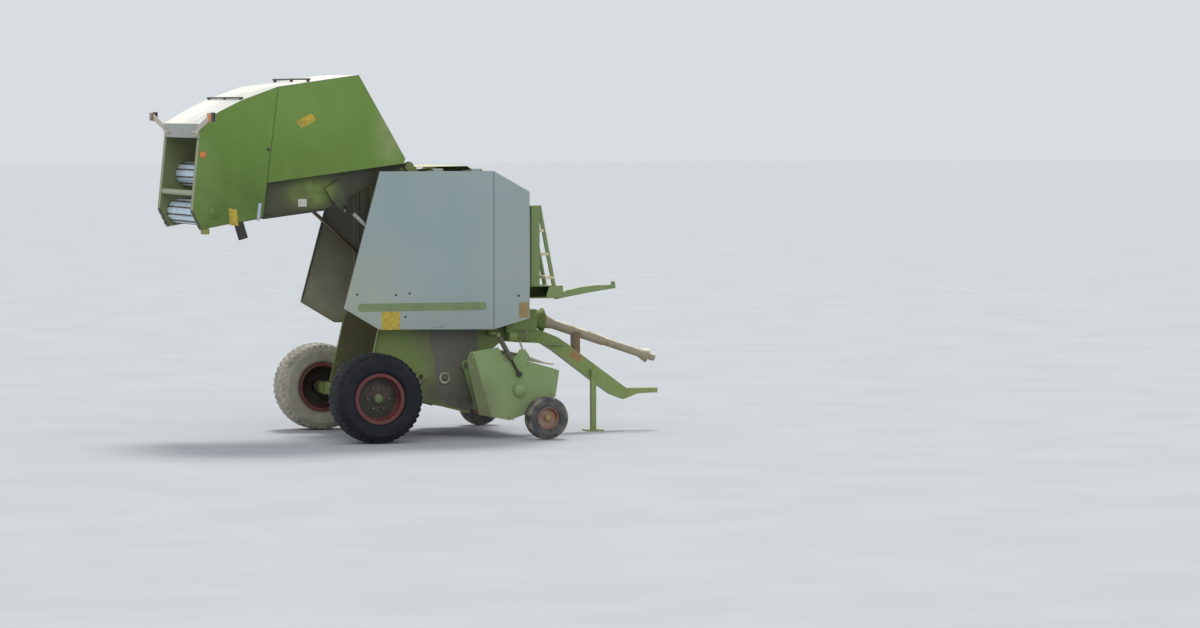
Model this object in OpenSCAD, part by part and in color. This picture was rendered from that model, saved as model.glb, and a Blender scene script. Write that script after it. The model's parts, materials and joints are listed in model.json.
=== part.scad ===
// Round baler with a fixed chamber of steel rollers, parked on its stand, tailgate raised.
// Lengths are millimetres. X points forward along the drawbar, Y to the left, Z up from the ground.
// Profiles are drawn with X measured from the axle and with the tailgate closed on its hinge.

/* [Bale chamber] */
// Height of the chamber's centre above the ground
chamber_z = 1455; // [1440:5:1475]
// Distance of the chamber's centre ahead of the axle
chamber_x = 312; // [295:1:325]
// Radius of the circle that the roller axes stand on
pitch_r = 890; // [870:1:900]
// Outer radius of a chamber roller without its ribs
roller_r = 112; // [100:1:116]
// Height of the lengthwise ribs on a roller
roller_rib = 6; // [3:1:8]
// Number of lengthwise ribs on a roller
roller_ribs = 10; // [6:1:14]
// Wall thickness of a roller's tube
roller_wall = 5; // [3:0.5:8]
// Radius of a roller's stub shafts
shaft_r = 22; // [16:1:28]
// Inner width of the bale chamber
chamber_w = 1210; // [1190:10:1230]
// Gap between a roller's end and the chamber wall
roller_gap = 7; // [5:1:12]
// Thickness of the chamber's side walls
wall_t = 6; // [4:1:8]

/* [Tailgate] */
// Distance of the tailgate's hinge ahead of the axle
hinge_x = 443; // [440:1:450]
// Height of the tailgate's hinge above the ground
hinge_z = 2600; // [2595:1:2610]
// Angle that the raised tailgate has turned from closed
open_angle = 60; // [50:1:65]
// Depth of the side covers that hang on the tailgate's walls
cover_d = 82; // [70:1:84]
// Thickness of the cover and skin sheets
sheet_t = 3; // [2:0.5:4]
// Radius of the tailgate's hinge pins
hinge_pin_r = 22; // [16:1:26]
// Depth of the lip along the skin's lower edge
lip_d = 22; // [12:1:30]

/* [Running gear] */
// Outer radius of the main tyres
tyre_r = 425; // [410:5:440]
// Width of the main tyres
tyre_w = 390; // [350:5:400]
// Radius of the main rims at the tyre's bead
rim_r = 216; // [200:2:220]
// Distance between the middle planes of the main tyres
track_w = 2000; // [1990:10:2100]
// Radius of the axle's spindles
spindle_r = 32; // [26:1:36]
// Side of the square axle tube
axle_side = 100; // [80:5:110]
// Outer radius of the pick-up's gauge wheels
gauge_r = 205; // [190:5:215]
// Width of the gauge wheels
gauge_w = 150; // [120:5:170]

/* [Side panels] */
// Distance of the side panels' outer faces from the middle
panel_y = 790; // [785:1:800]
// Depth of the folded rim around a side panel
panel_rim = 22; // [15:1:24]

/* [Pick-up] */
// Distance of the reel's axis ahead of the axle
reel_x = 1450; // [1440:5:1460]
// Height of the reel's axis above the ground
reel_z = 470; // [460:5:480]
// Radius that the tine tips reach
tine_r = 300; // [285:1:302]
// Radius of the outer face of the stripper bands
band_r = 235; // [220:1:245]
// Radius of a tine's wire
tine_wire_r = 4; // [3:0.5:5]
// Angle that each tine rakes back from the radius of its bar
tine_rake = 14; // [0:1:20]
// Tine pairs on each of the reel's bars
tine_pairs = 12; // [8:1:14]
// Half of the pick-up's overall width between its side plates
pickup_y = 930; // [925:1:940]

/* [Drawbar and drive] */
// Width of the drawbar's box beam
beam_w = 140; // [120:2:150]
// Thickness of the drawbar's plates
beam_t = 8; // [6:1:12]
// Radius of the hole in the hitch eye
hitch_r = 25.5; // [20:0.5:30]
// Distance of the hitch eye ahead of the axle
hitch_x = 3125; // [3110:5:3140]
// Radius of the drive shaft's guard tube
guard_r = 48; // [40:1:56]
// Radius of the splined bore in the drive shaft's yoke
spline_r = 17.5; // [15:0.5:22]

/* [Hidden] */

green = [0.40, 0.55, 0.16];
light_grey = [0.80, 0.83, 0.82];
steel = [0.62, 0.65, 0.68];
red = [0.52, 0.13, 0.13];
black = [0.10, 0.11, 0.12];

// Running clearance of a shaft or pin in its bore, on the radius
run_fit = 0.05;
// Gap between faces of two pieces that lie against each other
face_gap = 0.3;
// Gap between the tailgate's and the front walls' meeting edges
meet_gap = 16;

wall_in = chamber_w / 2;
wall_out = wall_in + wall_t;
cover_out = wall_out + cover_d;

// Roller angles count backwards round the chamber from the bottom front roller
roller_step = 23.8;
first_angle = -98;
front_slots = [-1, 0, 8, 9, 10, 11, 12];
rear_slots = [1, 2, 3, 4, 5, 6, 7];
function roller_at(slot) = let (a = first_angle - slot * roller_step)
    [chamber_x + pitch_r * cos(a), chamber_z + pitch_r * sin(a)];

// Bearing housings on the outside of the walls
bearing_r = 46;
bearing_h = 34;
bearing_flange_t = 10;
shaft_out = 12;

// Flanged bearing of the feed shaft, low on the walls
feed_at = [800, 580];
feed_r = 56;
feed_cup_r = 36;
feed_h = 18;

// Turns a profile point of the closed tailgate to where the raised tailgate holds it
function raise(p) = [
    hinge_x + (p[0] - hinge_x) * cos(open_angle) + (p[1] - hinge_z) * sin(open_angle),
    hinge_z - (p[0] - hinge_x) * sin(open_angle) + (p[1] - hinge_z) * cos(open_angle)];

// Closed tailgate, side profile from the hinge end over the top and round the back
skin_z = hinge_z - 8;
tail_top = [[350, skin_z], [-569, skin_z], [-866, 1854], [-930, 1499], [-948, 1240], [-944, 1020],
    [-830, 954]];
tail_low = [[-271, 553], [-77, 541]];
// Height of the front walls' top edge
wall_top = 2520;
// The edges that meet when the tailgate closes, from the bottom up
tail_edge = [[128, 1085], [375, 1676], [415, 2330], [415, hinge_z - 20]];
front_edge = [[10, 500], [tail_edge[0][0] + meet_gap, 1085], [tail_edge[1][0] + meet_gap, 1676],
    [tail_edge[2][0] + meet_gap, 2330], [tail_edge[2][0] + meet_gap, wall_top]];
// Corner where the two side covers and the open strip of wall meet
cover_corner = [-140, 1305];
cover_front = [[380, 2558], [350, skin_z]];
cover_foot = [120, 1110];
cover_seam = 4;

// The skin's last straight faces down and back when closed: point out from it and up along it
lower_edge = tail_top[6];
up_face = unit(tail_top[5] - lower_edge);
function face_at(out, up) = lower_edge + up_face * up + [-up_face[1], up_face[0]] * out;

// Lamp brackets on that face: lower edge of the bar across and up, its width, and the lamp's spans
lamp_bar = [[450, 6], [630, 24], [705, 72], [1125, 168]];
lamp_bar_w = 56;
lip_up = 2;
lamp_bar_t = 6;
lamp_y = [1095, 1175];
lamp_z = [152, 240];
lamp_case_d = 34;
lens_d = 26;
lens_rim = 6;
lens_out = sheet_t + face_gap + lamp_bar_t + lens_d;

rear_reach = min([for (p = concat(tail_low, run_offset(tail_top, -sheet_t), [face_at(lip_d, lip_up),
    face_at(lens_out, lamp_z[0] + lens_rim), face_at(lens_out, lamp_z[1] - lens_rim)])) raise(p)[0]]);
hitch_rim = 60;
front_reach = hitch_x + hitch_rim;
// Shift that puts the middle of the overall length at the origin
frame_x = -(front_reach + rear_reach) / 2;

// Tailgate cylinders: chassis pivot, and the rod's eye on the closed tailgate
cyl_base = [1000, 1125];
cyl_eye = [471, 1859];
cyl_y = 735;
cyl_r = 35;
cyl_bore_r = 27;
cyl_rod_r = 19;
cyl_eye_r = 38;
cyl_eye_w = 40;
cyl_neck_r = 19;
cyl_foot_z = 50;
cyl_pin_r = 15;
cyl_piston_l = 40;
cyl_gland_l = 30;
// Bottom of the bore, and the free travel left at its ends
cyl_bore_z = 60;
cyl_spare = 4;
cyl_reach = span_of(cyl_base, raise(cyl_eye));
cyl_closed = span_of(cyl_base, cyl_eye);
cyl_bore_l = cyl_reach - cyl_closed + cyl_piston_l + 2 * cyl_spare;
cyl_barrel_l = cyl_bore_z + cyl_bore_l + cyl_gland_l;
edge_flange = 30;
lug_in = wall_out + edge_flange + 6;
lug_t = 18;

// Side doors: main panel outline and its hinge line along the top edge
door_top = 2560;
door_low = 1046;
door_front = 1240;
door_outline = [[100, door_low + 14], [door_front, door_low], [door_front, door_top],
    [110, door_top], [-243, 1264]];
panel_in = panel_y - sheet_t;
door_pin_y = panel_y - 15;
door_pin_z = door_top + 15;
door_pin_r = 5;
door_knuckle_r = 9;
door_knuckles = [640, 1020];
door_knuckle_l = 90;
door_ear_t = 8;
door_ribs = [330, 700, 1070];
door_rib_d = 8;
door_rib_w = 70;

// Front corner sheets ahead of the doors
corner_outline = [[door_front + 6, door_low], [1602, 1146], [1602, 2359], [door_front + 6, door_top - 2]];

// Front posts and cross beams
post_x = 1400;
post_w = 80;
front_beam_z = 930;
front_beam_h = 80;
post_top = 2330;
root_x = post_x + post_w;
tube_t = 6;
panel_arm_z = [1300, 2100];

// Box bracket and width of the front steps
step_box_x = [corner_outline[1][0], 1985];
step_box_z = 1300;
step_y = [-650, -330];
hose_arm_y = -400;
hose_arm_w = 50;

// Main wheel details
bead_half = 150;
flange_rise = 26;
rim_t = 8;
bead_lip = 4;
hub_r = 62;
rim_disc_y = 55;
nut_ring_r = 105;
nut_r = 14;
wheel_y = track_w / 2;

// Pick-up
pickup_pivot = [1000, 700];
pickup_pin_r = 20;
pickup_arm_in = wall_out + bearing_h + shaft_out + 8;
pickup_arm_t = 12;
plate_t = 5;
plate_outline = [[960, 840], [930, 760], [1050, 240], [1353, 180], [1560, 250], [1815, 400], [1855, 650],
    [1533, 745], [1290, 800], [1240, 880]];
band_w = 46;
band_t = 3;
bar_count = 4;
bar_r = 18;
bar_ring_r = 150;
reel_shaft_r = 30;
tine_pitch = 2 * (pickup_y - plate_t - 40) / tine_pairs;
tine_spread = tine_pitch / 2;
tube_side = 60;
tube_at = [1120, 305];
gauge_x = 1680;
gauge_y = 1060;
gauge_spindle_r = 14;
gauge_rim_r = 102;
gauge_half = 58;
lift_top = [1228, 1000];
lift_low = [1440, 620];
lift_y = 960;
lift_barrel_r = 24;
lift_neck_r = 14;
lift_foot_z = 32;
lift_rod_r = 12;
lift_barrel_l = 270;
lift_eye_r = 26;
lift_eye_w = 30;
lift_pin_r = 11;

// Drawbar, drive shaft and stand
beam_top = [[root_x, 1000], [1930, 1000], [2120, 925], [2235, 850], [2390, 735], [2840, 408]];
beam_low = [[2816, 300], [2690, 350], [2556, 443], [2100, 784], [1967, 865], [1700, 880], [root_x, 900]];
beam_y = beam_w / 2;
tongue_y = 45;
tongue_top = 404;
tongue_low = 359;
pto_start = [1960, 1095];
pto_end = [3150, 700];
bell_r = [70, 115];
bell_l = 90;
bell_t = 4;
yoke_in = 26;
yoke_t = 12;
pto_len = span_of(pto_start, pto_end);
pto_tilt = atan2(pto_start[1] - pto_end[1], pto_end[0] - pto_start[0]);
stand_pivot = [2480, 560];
stand_pin_r = 14;
stand_tube = 50;
stand_y = -(beam_y + 6 + stand_tube / 2);
foot_side = 170;
foot_t = 12;

// Places a node's parts in the machine's frame
module placed() {
    translate([frame_x, 0, 0]) children();
}

// Turns what is drawn on the closed tailgate up to the raised pose
module raised() {
    translate([hinge_x, 0, hinge_z]) rotate([0, open_angle, 0]) translate([-hinge_x, 0, -hinge_z]) children();
}

// Draws its children on the left, or mirrored on the right
module on_side(side) {
    if (side > 0) children();
    else mirror([0, 1, 0]) children();
}

// Extrudes a side profile from y0 over a thickness t
module slab(y0, t) {
    translate([0, y0 + t, 0]) rotate([90, 0, 0]) linear_extrude(t) children();
}

// Round bar along Y between y0 and y1 at a profile point
module bar_y(p, r, y0, y1, fn = 48) {
    translate([p[0], y1, p[1]]) rotate([90, 0, 0]) cylinder(r = r, h = y1 - y0, $fn = fn);
}

// Box given by its X, Y and Z spans
module span_box(x, y, z) {
    translate([x[0], y[0], z[0]]) cube([x[1] - x[0], y[1] - y[0], z[1] - z[0]]);
}

function unit(v) = v / sqrt(v[0] * v[0] + v[1] * v[1]);
function span_of(p, q) = sqrt(pow(q[0] - p[0], 2) + pow(q[1] - p[1], 2));
function left_of(p, q) = let (u = unit(q - p)) [-u[1], u[0]];

// Flat strip of thickness t to the left of the line from p to q
module strip(p, q, t) {
    n = left_of(p, q);
    polygon([p, q, q + n * t, p + n * t]);
}

// Mitred offset of one corner, between the edges that come in along a and go out along b
function mitre(p, a, b, t) = p + (a + b) * t / (1 + a * b);

// Points of an open run moved by t to its left
function run_offset(points, t) = let (last = len(points) - 1) [for (i = [0 : last])
    let (a = left_of(points[max(i, 1) - 1], points[max(i, 1)]),
        b = left_of(points[min(i, last - 1)], points[min(i, last - 1) + 1]))
    mitre(points[i], a, b, t)];

// Points of a closed outline moved by t to its left, which is inwards when it runs anticlockwise
function ring_offset(points, t) = let (n = len(points)) [for (i = [0 : n - 1])
    mitre(points[i], left_of(points[(i + n - 1) % n], points[i]), left_of(points[i], points[(i + 1) % n]), t)];

function reversed(points) = [for (i = [len(points) - 1 : -1 : 0]) points[i]];

// Strip of thickness t to the left of an open run of points
module run_strip(points, t) {
    polygon(concat(points, reversed(run_offset(points, t))));
}

// Ring of thickness t inside a closed outline that runs anticlockwise
module rim_strip(points, t) {
    difference() {
        polygon(points);
        polygon(ring_offset(points, t));
    }
}

// Sheet with a folded rim: the face lies at y_face, the rim folds inwards over a depth
module pan(points, y_face, depth) {
    slab(y_face - sheet_t, sheet_t) polygon(points);
    slab(y_face - depth, depth - sheet_t) rim_strip(points, sheet_t);
}

// Side walls of the front chamber half with their bearings, lugs and pivots
module side_walls() {
    outline = concat([[-65, 365], [-65, 490]], front_edge,
        [[1230, wall_top], [post_x + post_w, post_top], [post_x + post_w, front_beam_z + front_beam_h],
        [post_x, front_beam_z + front_beam_h], [post_x, front_beam_z + 14], [1250, 820], [1090, 560],
        [1050, 232], [700, 325], [550, 357], [400, 390], [180, 365]]);
    placed() color(green) for (side = [-1, 1]) on_side(side) {
        difference() {
            union() {
                slab(wall_in, wall_t) polygon(outline);
                slab(wall_out, edge_flange) run_strip([front_edge[4], front_edge[3], front_edge[2],
                    front_edge[1], front_edge[0]], 8);
                for (slot = front_slots) {
                    bar_y(roller_at(slot), bearing_r + 18, wall_out, wall_out + bearing_flange_t, 4);
                    bar_y(roller_at(slot), bearing_r, wall_out, wall_out + bearing_h);
                }
                hinge_lug();
                feed_bearing();
                bar_y(cyl_base, 34, wall_out, cyl_y - cyl_eye_w / 2 - face_gap);
                bar_y(cyl_base, cyl_pin_r, wall_out, cyl_y + cyl_eye_w / 2 + 8);
                bar_y(cyl_base, 23, cyl_y + cyl_eye_w / 2 + face_gap, cyl_y + cyl_eye_w / 2 + 8);
                bar_y(pickup_pivot, 34, wall_out, pickup_arm_in - face_gap);
                bar_y(pickup_pivot, pickup_pin_r, wall_out, pickup_arm_in + pickup_arm_t + 8);
                bar_y(pickup_pivot, 30, pickup_arm_in + pickup_arm_t + face_gap,
                    pickup_arm_in + pickup_arm_t + 8);
                bar_y(lift_top, 20, wall_out, lift_y - lift_eye_w / 2 - face_gap);
                bar_y(lift_top, lift_pin_r, wall_out, lift_y + lift_eye_w / 2 + 8);
                bar_y(lift_top, 18, lift_y + lift_eye_w / 2 + face_gap, lift_y + lift_eye_w / 2 + 8);
            }
            for (slot = front_slots)
                bar_y(roller_at(slot), shaft_r + run_fit, wall_in - 1, wall_out + bearing_h + 1);
            slab(wall_in - 1, wall_t + 2) translate([-axle_side / 2, tyre_r - axle_side / 2]) square(axle_side);
        }
    }
}

// Cupped bearing flange of the feed shaft with the shaft's end in it
module feed_bearing() {
    difference() {
        bar_y(feed_at, feed_r, wall_out, wall_out + feed_h);
        bar_y(feed_at, feed_cup_r, wall_out + feed_h / 3, wall_out + feed_h + 1);
    }
    bar_y(feed_at, feed_cup_r / 2, wall_out, wall_out + feed_h);
}

// Fixed half of a tailgate hinge: foot on the wall, plate outside the ear, pin through it
module hinge_lug() {
    lug = wall_out + 26;
    slab(wall_out, 26) translate([485, 2400]) square([115, 90]);
    slab(lug, 20) union() {
        translate([hinge_x, hinge_z]) circle(r = 40, $fn = 48);
        polygon([[415, 2590], [475, 2620], [600, 2500], [600, 2400], [485, 2400], [485, 2490]]);
    }
    bar_y([hinge_x, hinge_z], hinge_pin_r, wall_in - 20, lug + 10);
}

// Beams between and outside the walls that tie the front frame together
module cross_beams() {
    placed() color(green) {
        difference() {
            span_box([470, 590], [-wall_in, wall_in], [2440, 2540]);
            span_box([478, 582], [-wall_in - 1, wall_in + 1], [2448, 2532]);
        }
        span_box([1130, 1210], [-wall_in, wall_in], [2430, 2510]);
        difference() {
            span_box([post_x, post_x + post_w], [-panel_in, panel_in], [front_beam_z, front_beam_z + front_beam_h]);
            span_box([post_x + 8, post_x + post_w - 8], [-panel_in - 1, panel_in + 1],
                [front_beam_z + 8, front_beam_z + front_beam_h - 8]);
        }
        for (side = [-1, 1]) on_side(side) {
            post();
            for (z = panel_arm_z) span_box([post_x + 10, post_x + post_w - 10],
                [wall_out + post_w, panel_y - sheet_t], [z, z + 60]);
            for (x = door_knuckles) door_arm(x);
        }
    }
}

// Upright square tube at the front of a side wall
module post() {
    post_z = [front_beam_z + front_beam_h, post_top];
    difference() {
        span_box([post_x, post_x + post_w], [wall_out, wall_out + post_w], post_z);
        span_box([post_x + tube_t, post_x + post_w - tube_t], [wall_out + tube_t, wall_out + post_w - tube_t],
            [post_z[0] + tube_t, post_z[1] - tube_t]);
    }
}

// Arm from the wall's top to the side door's hinge with two ears and a pin
module door_arm(x) {
    arm_top = door_pin_z - 7;
    span_box([x - 30, x + door_knuckle_l + 30], [wall_out, door_pin_y - 25], [arm_top - 12, arm_top]);
    span_box([x - 30, x + door_knuckle_l + 30], [wall_out, wall_out + 12], [wall_top - 100, arm_top - 12]);
    for (x0 = [x - door_ear_t - 2, x + door_knuckle_l + 2])
        translate([x0, 0, 0]) rotate([90, 0, 90]) linear_extrude(door_ear_t) union() {
            translate([door_pin_y, door_pin_z]) circle(r = door_knuckle_r, $fn = 32);
            translate([door_pin_y - 30, door_pin_z - 7]) square([30, 14]);
        }
    translate([x - door_ear_t - 2, door_pin_y, door_pin_z]) rotate([0, 90, 0])
        cylinder(r = door_pin_r, h = door_knuckle_l + 2 * door_ear_t + 4, $fn = 32);
}

// Square axle tube with turned spindles at its ends
module axle() {
    hub_in = wheel_y - tyre_w / 2 + 20;
    placed() color(green) {
        difference() {
            span_box([-axle_side / 2, axle_side / 2], [-hub_in, hub_in],
                [tyre_r - axle_side / 2, tyre_r + axle_side / 2]);
            span_box([-axle_side / 2 + 8, axle_side / 2 - 8], [-hub_in + 20, hub_in - 20],
                [tyre_r - axle_side / 2 + 8, tyre_r + axle_side / 2 - 8]);
        }
        for (side = [-1, 1]) on_side(side)
            bar_y([0, tyre_r], spindle_r, hub_in, wheel_y + rim_disc_y + 20);
    }
}

// Fixed corner sheets ahead of the side doors
module corner_panels() {
    placed() color(light_grey) for (side = [-1, 1]) on_side(side)
        pan(corner_outline, panel_y, panel_rim);
}

// Front sheet between the corner panels, bent at the top
module front_cover() {
    half = panel_y - panel_rim;
    placed() color(light_grey)
        slab(-half, 2 * half) run_strip([corner_outline[3], corner_outline[2], corner_outline[1]], -sheet_t);
}

// Raised sheet over the top of the front frame
module top_cover() {
    half = wall_out;
    placed() color(light_grey)
        slab(-half, 2 * half) run_strip([[520, 2540], [520, 2600], [1030, 2606],
            [1170, wall_top + sheet_t], [1228, wall_top + sheet_t]], -sheet_t);
}

// Main gearbox as one block with its input hub and an open bell guard
module gearbox() {
    placed() color(green) {
        span_box([1650, 1890], [-130, 130], [1000, 1200]);
        translate([1890, 0, pto_start[1]]) rotate([0, 90, 0]) cylinder(r = 60, h = 30, $fn = 48);
        translate([pto_start[0], 0, pto_start[1]]) rotate([0, -90, 0]) rotate([0, 0, 90]) yoke(32);
        translate([1900, 0, pto_start[1]]) rotate([0, 90, 0]) difference() {
            cylinder(r1 = bell_r[0], r2 = bell_r[1], h = bell_l, $fn = 48);
            translate([0, 0, 12]) cylinder(r1 = bell_r[0] - bell_t, r2 = bell_r[1] - bell_t, h = bell_l, $fn = 48);
        }
    }
}

// Box beam of the drawbar, with its root plates
module drawbar() {
    ring = reversed(concat(beam_low, beam_top));
    placed() color(green) {
        for (y = [-beam_y, beam_y - beam_t]) slab(y, beam_t) polygon(ring);
        slab(-beam_y + beam_t, beam_w - 2 * beam_t) rim_strip(ring, beam_t);
        for (side = [-1, 1]) on_side(side) {
            slab(beam_y, 10) polygon([[root_x, 905], [1840, 890], [1920, 940], [1920, 1000], [root_x, 1000]]);
        }
        bar_y(stand_pivot, stand_pin_r, stand_y - stand_tube / 2 - 10, -beam_y);
        bar_y(stand_pivot, 24, stand_y - stand_tube / 2 - 10, stand_y - stand_tube / 2 - face_gap);
        bar_y(stand_pivot, 30, stand_y + stand_tube / 2 + face_gap, -beam_y);
    }
}

// Tongue with the hitch eye
module hitch_tongue() {
    placed() color(green) difference() {
        union() {
            slab(-tongue_y, 2 * tongue_y) polygon([beam_low[0], [2960, 352], [hitch_x - 30, tongue_low],
                [hitch_x - 30, tongue_top], beam_top[5]]);
            translate([hitch_x, 0, tongue_low]) cylinder(r = hitch_rim, h = tongue_top - tongue_low, $fn = 64);
        }
        translate([hitch_x, 0, tongue_low - 1]) cylinder(r = hitch_r, h = tongue_top - tongue_low + 2, $fn = 64);
    }
}

// Two ears of a universal joint along +Z from its centre, on a round foot
module yoke(foot_z) {
    for (y = [yoke_in, -yoke_in - yoke_t]) slab(y, yoke_t) union() {
        circle(r = 20, $fn = 32);
        translate([-20, 0]) square([40, foot_z]);
    }
    translate([0, 0, foot_z]) cylinder(r = yoke_in + yoke_t, h = 10, $fn = 48);
}

// Drive shaft in its guard: joint cross, yoke, cones, tubes and the yoke with the splined bore
module pto_shaft() {
    cross_r = 10;
    placed() color(black) translate([pto_start[0], 0, pto_start[1]]) {
        bar_y([0, 0], cross_r, -yoke_in - yoke_t, yoke_in + yoke_t);
        translate([0, 0, -yoke_in]) cylinder(r = cross_r, h = 2 * yoke_in, $fn = 48);
    }
    placed() color(black) translate([pto_start[0], 0, pto_start[1]]) rotate([0, 90 + pto_tilt, 0]) difference() {
        union() {
            yoke(32);
            translate([0, 0, 41]) cylinder(r1 = 72, r2 = guard_r, h = 110, $fn = 48);
            translate([0, 0, 41]) cylinder(r = guard_r, h = pto_len * 0.52, $fn = 48);
            translate([0, 0, 41]) cylinder(r = guard_r - 7, h = pto_len - 191, $fn = 48);
            translate([0, 0, pto_len - 170]) cylinder(r1 = guard_r - 7, r2 = 72, h = 90, $fn = 48);
            translate([0, 0, pto_len - 90]) cylinder(r = 34, h = 90, $fn = 48);
        }
        translate([0, 0, pto_len - 60]) cylinder(r = spline_r, h = 61, $fn = 48);
    }
}

// Bracket on the drawbar that the parked drive shaft lies in
module pto_rest() {
    rest_x = 2330;
    along = (rest_x - pto_start[0]) / cos(pto_tilt);
    axis_z = pto_start[1] - (rest_x - pto_start[0]) * tan(pto_tilt);
    placed() color(red) difference() {
        slab(-60, 120) polygon([[rest_x - 30, 802], [rest_x + 30, 757], [rest_x + 30, axis_z],
            [rest_x - 30, axis_z]]);
        translate([pto_start[0], 0, pto_start[1]]) rotate([0, 90 + pto_tilt, 0])
            translate([0, 0, along - 100]) cylinder(r = guard_r + face_gap, h = 200, $fn = 48);
        slab(-70, 140) polygon([[rest_x - 40, 700], [rest_x - 40, beam_line(rest_x - 40)],
            [rest_x + 40, beam_line(rest_x + 40)], [rest_x + 40, 700]]);
    }
}

// Height of the drawbar's upper face on its third straight
function beam_line(x) = beam_top[3][1] + (beam_top[4][1] - beam_top[3][1]) * (x - beam_top[3][0])
    / (beam_top[4][0] - beam_top[3][0]);

// Steps up to the front, on a box bracket, beside an upright post
module ladder() {
    rails_y = [step_y[0] + 20, step_y[1] - 20];
    rail_top = [1798, 2239];
    rail_low = [1975, 1449];
    placed() color(green) {
        difference() {
            span_box(step_box_x, step_y, [step_box_z, step_box_z + 150]);
            span_box([step_box_x[0] + tube_t, step_box_x[1] - tube_t], [step_y[0] - 1, step_y[1] + 1],
                [step_box_z + tube_t, step_box_z + 150 - tube_t]);
        }
        difference() {
            span_box([1702, 1788], [step_y[0], step_y[0] + 50], [step_box_z + 150, 2210]);
            span_box([1707, 1783], [step_y[0] + 5, step_y[0] + 45], [step_box_z + 155, 2205]);
        }
        span_box([corner_outline[1][0], 1810], step_y, [2210, 2224]);
        for (y = rails_y) slab(y, 30) strip(rail_low, rail_top, 22);
        for (k = [1 : 3]) {
            p = rail_low + (rail_top - rail_low) * k / 3.42;
            span_box([p[0] - 75, p[0] + 15], [rails_y[0], rails_y[1] + 30], [p[1], p[1] + 12]);
        }
    }
}

// Arched channel, open below, that carries the hoses forward: top run, low run, and a tab at its tip
module hose_arm() {
    top = [[step_box_x[1], 1358], [2110, 1396], [2244, 1423], [2398, 1440], [2600, 1441]];
    low = [[2600, 1409], [2552, 1403], [2295, 1364], [2091, 1328], [step_box_x[1], 1308]];
    placed() color(green) {
        for (y = [-hose_arm_w / 2, hose_arm_w / 2 - tube_t])
            slab(hose_arm_y + y, tube_t) polygon(concat(low, top));
        slab(hose_arm_y - hose_arm_w / 2 + tube_t, hose_arm_w - 2 * tube_t) run_strip(reversed(top), tube_t);
        slab(hose_arm_y - hose_arm_w / 2, tube_t) polygon([[2545, 1430], [2600, 1430], [2592, 1476], [2556, 1476]]);
    }
}

// Pan under the crop inlet, between the walls
module feed_floor() {
    placed() color(green) slab(-wall_in, 2 * wall_in)
        run_strip([[1085, 560], [900, 450], [700, 420], [500, 425]], sheet_t);
}

// Side walls of the tailgate with their bearings and hinge ears
module tailgate_walls() {
    outline = concat(tail_low, tail_edge, tail_top);
    placed() raised() color(green) for (side = [-1, 1]) on_side(side) difference() {
        union() {
            slab(wall_in, wall_t) polygon(outline);
            slab(wall_in, wall_t) translate([hinge_x, hinge_z]) circle(r = 50, $fn = 48);
            slab(wall_out, 20) translate([hinge_x, hinge_z]) circle(r = 50, $fn = 48);
            for (slot = rear_slots) {
                bar_y(roller_at(slot), bearing_r, wall_out, wall_out + bearing_h);
                bar_y(roller_at(slot), bearing_r + 8, wall_out, wall_out + bearing_flange_t, 4);
            }
            slab(wall_out, lug_in - wall_out) polygon([[200, 1780], [330, 1780], [350, 1930], [200, 1930]]);
            slab(lug_in, lug_t) union() {
                polygon([[200, 1780], [330, 1780], [cyl_eye[0] + 8, cyl_eye[1] - 35],
                    [cyl_eye[0], cyl_eye[1] + 36], [200, 1930]]);
                translate(cyl_eye) circle(r = 36, $fn = 48);
            }
            bar_y(cyl_eye, 34, lug_in, cyl_y - cyl_eye_w / 2 - face_gap);
        }
        for (slot = rear_slots)
            bar_y(roller_at(slot), shaft_r + run_fit, wall_in - 1, wall_out + bearing_h + 1);
        bar_y([hinge_x, hinge_z], hinge_pin_r + run_fit, wall_in - 1, wall_out + 21);
    }
}

// Outer side covers of the tailgate, two to a side, meeting at a seam
module tailgate_covers() {
    seam_n = left_of(tail_top[2], cover_corner) * cover_seam;
    rear = concat([tail_top[2], tail_top[3], tail_top[4], tail_top[5], tail_top[6]], tail_low,
        [cover_foot, cover_corner]);
    upper = concat([cover_corner + seam_n], cover_front, [tail_top[1], tail_top[2] + seam_n]);
    placed() raised() color(green) for (side = [-1, 1]) on_side(side) {
        cover(rear);
        cover(upper);
    }
}

// One side cover: a face sheet with a rim down to the wall, open between its last and first points
module cover(points) {
    slab(cover_out - sheet_t, sheet_t) polygon(points);
    slab(wall_out, cover_d - sheet_t) polygon(concat(points, reversed(ring_offset(points, sheet_t))));
}

// White skin over the top and the back of the tailgate, with a lip along its lower edge
module tailgate_skin() {
    placed() raised() color(light_grey)
        slab(-cover_out, 2 * cover_out) run_strip(tail_top, -sheet_t);
    on_lower_face() color(light_grey)
        span_box([-lip_d, -sheet_t / 2], [-cover_out, cover_out], [lip_up, lip_up + sheet_t]);
}

// Cross tubes of the tailgate between its walls
module tailgate_tubes() {
    placed() raised() color(green) {
        difference() {
            span_box([250, 330], [-wall_in, wall_in], [2515, 2585]);
            span_box([256, 324], [-wall_in - 1, wall_in + 1], [2521, 2579]);
        }
        difference() {
            bar_y([-395, 672], 26, -wall_in, wall_in);
            bar_y([-395, 672], 22, -wall_in - 1, wall_in + 1);
        }
        difference() {
            span_box([-860, -800], [-wall_in, wall_in], [1700, 1760]);
            span_box([-855, -805], [-wall_in - 1, wall_in + 1], [1705, 1755]);
        }
        difference() {
            span_box([-860, -800], [-wall_in, wall_in], [1000, 1060]);
            span_box([-855, -805], [-wall_in - 1, wall_in + 1], [1005, 1055]);
        }
    }
}

// Puts what is drawn from the skin's lower edge, +Z up along its last straight and -X out of it, in place
module on_lower_face() {
    placed() raised() translate([lower_edge[0], 0, lower_edge[1]])
        rotate([0, atan2(up_face[0], up_face[1]), 0]) children();
}

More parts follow.
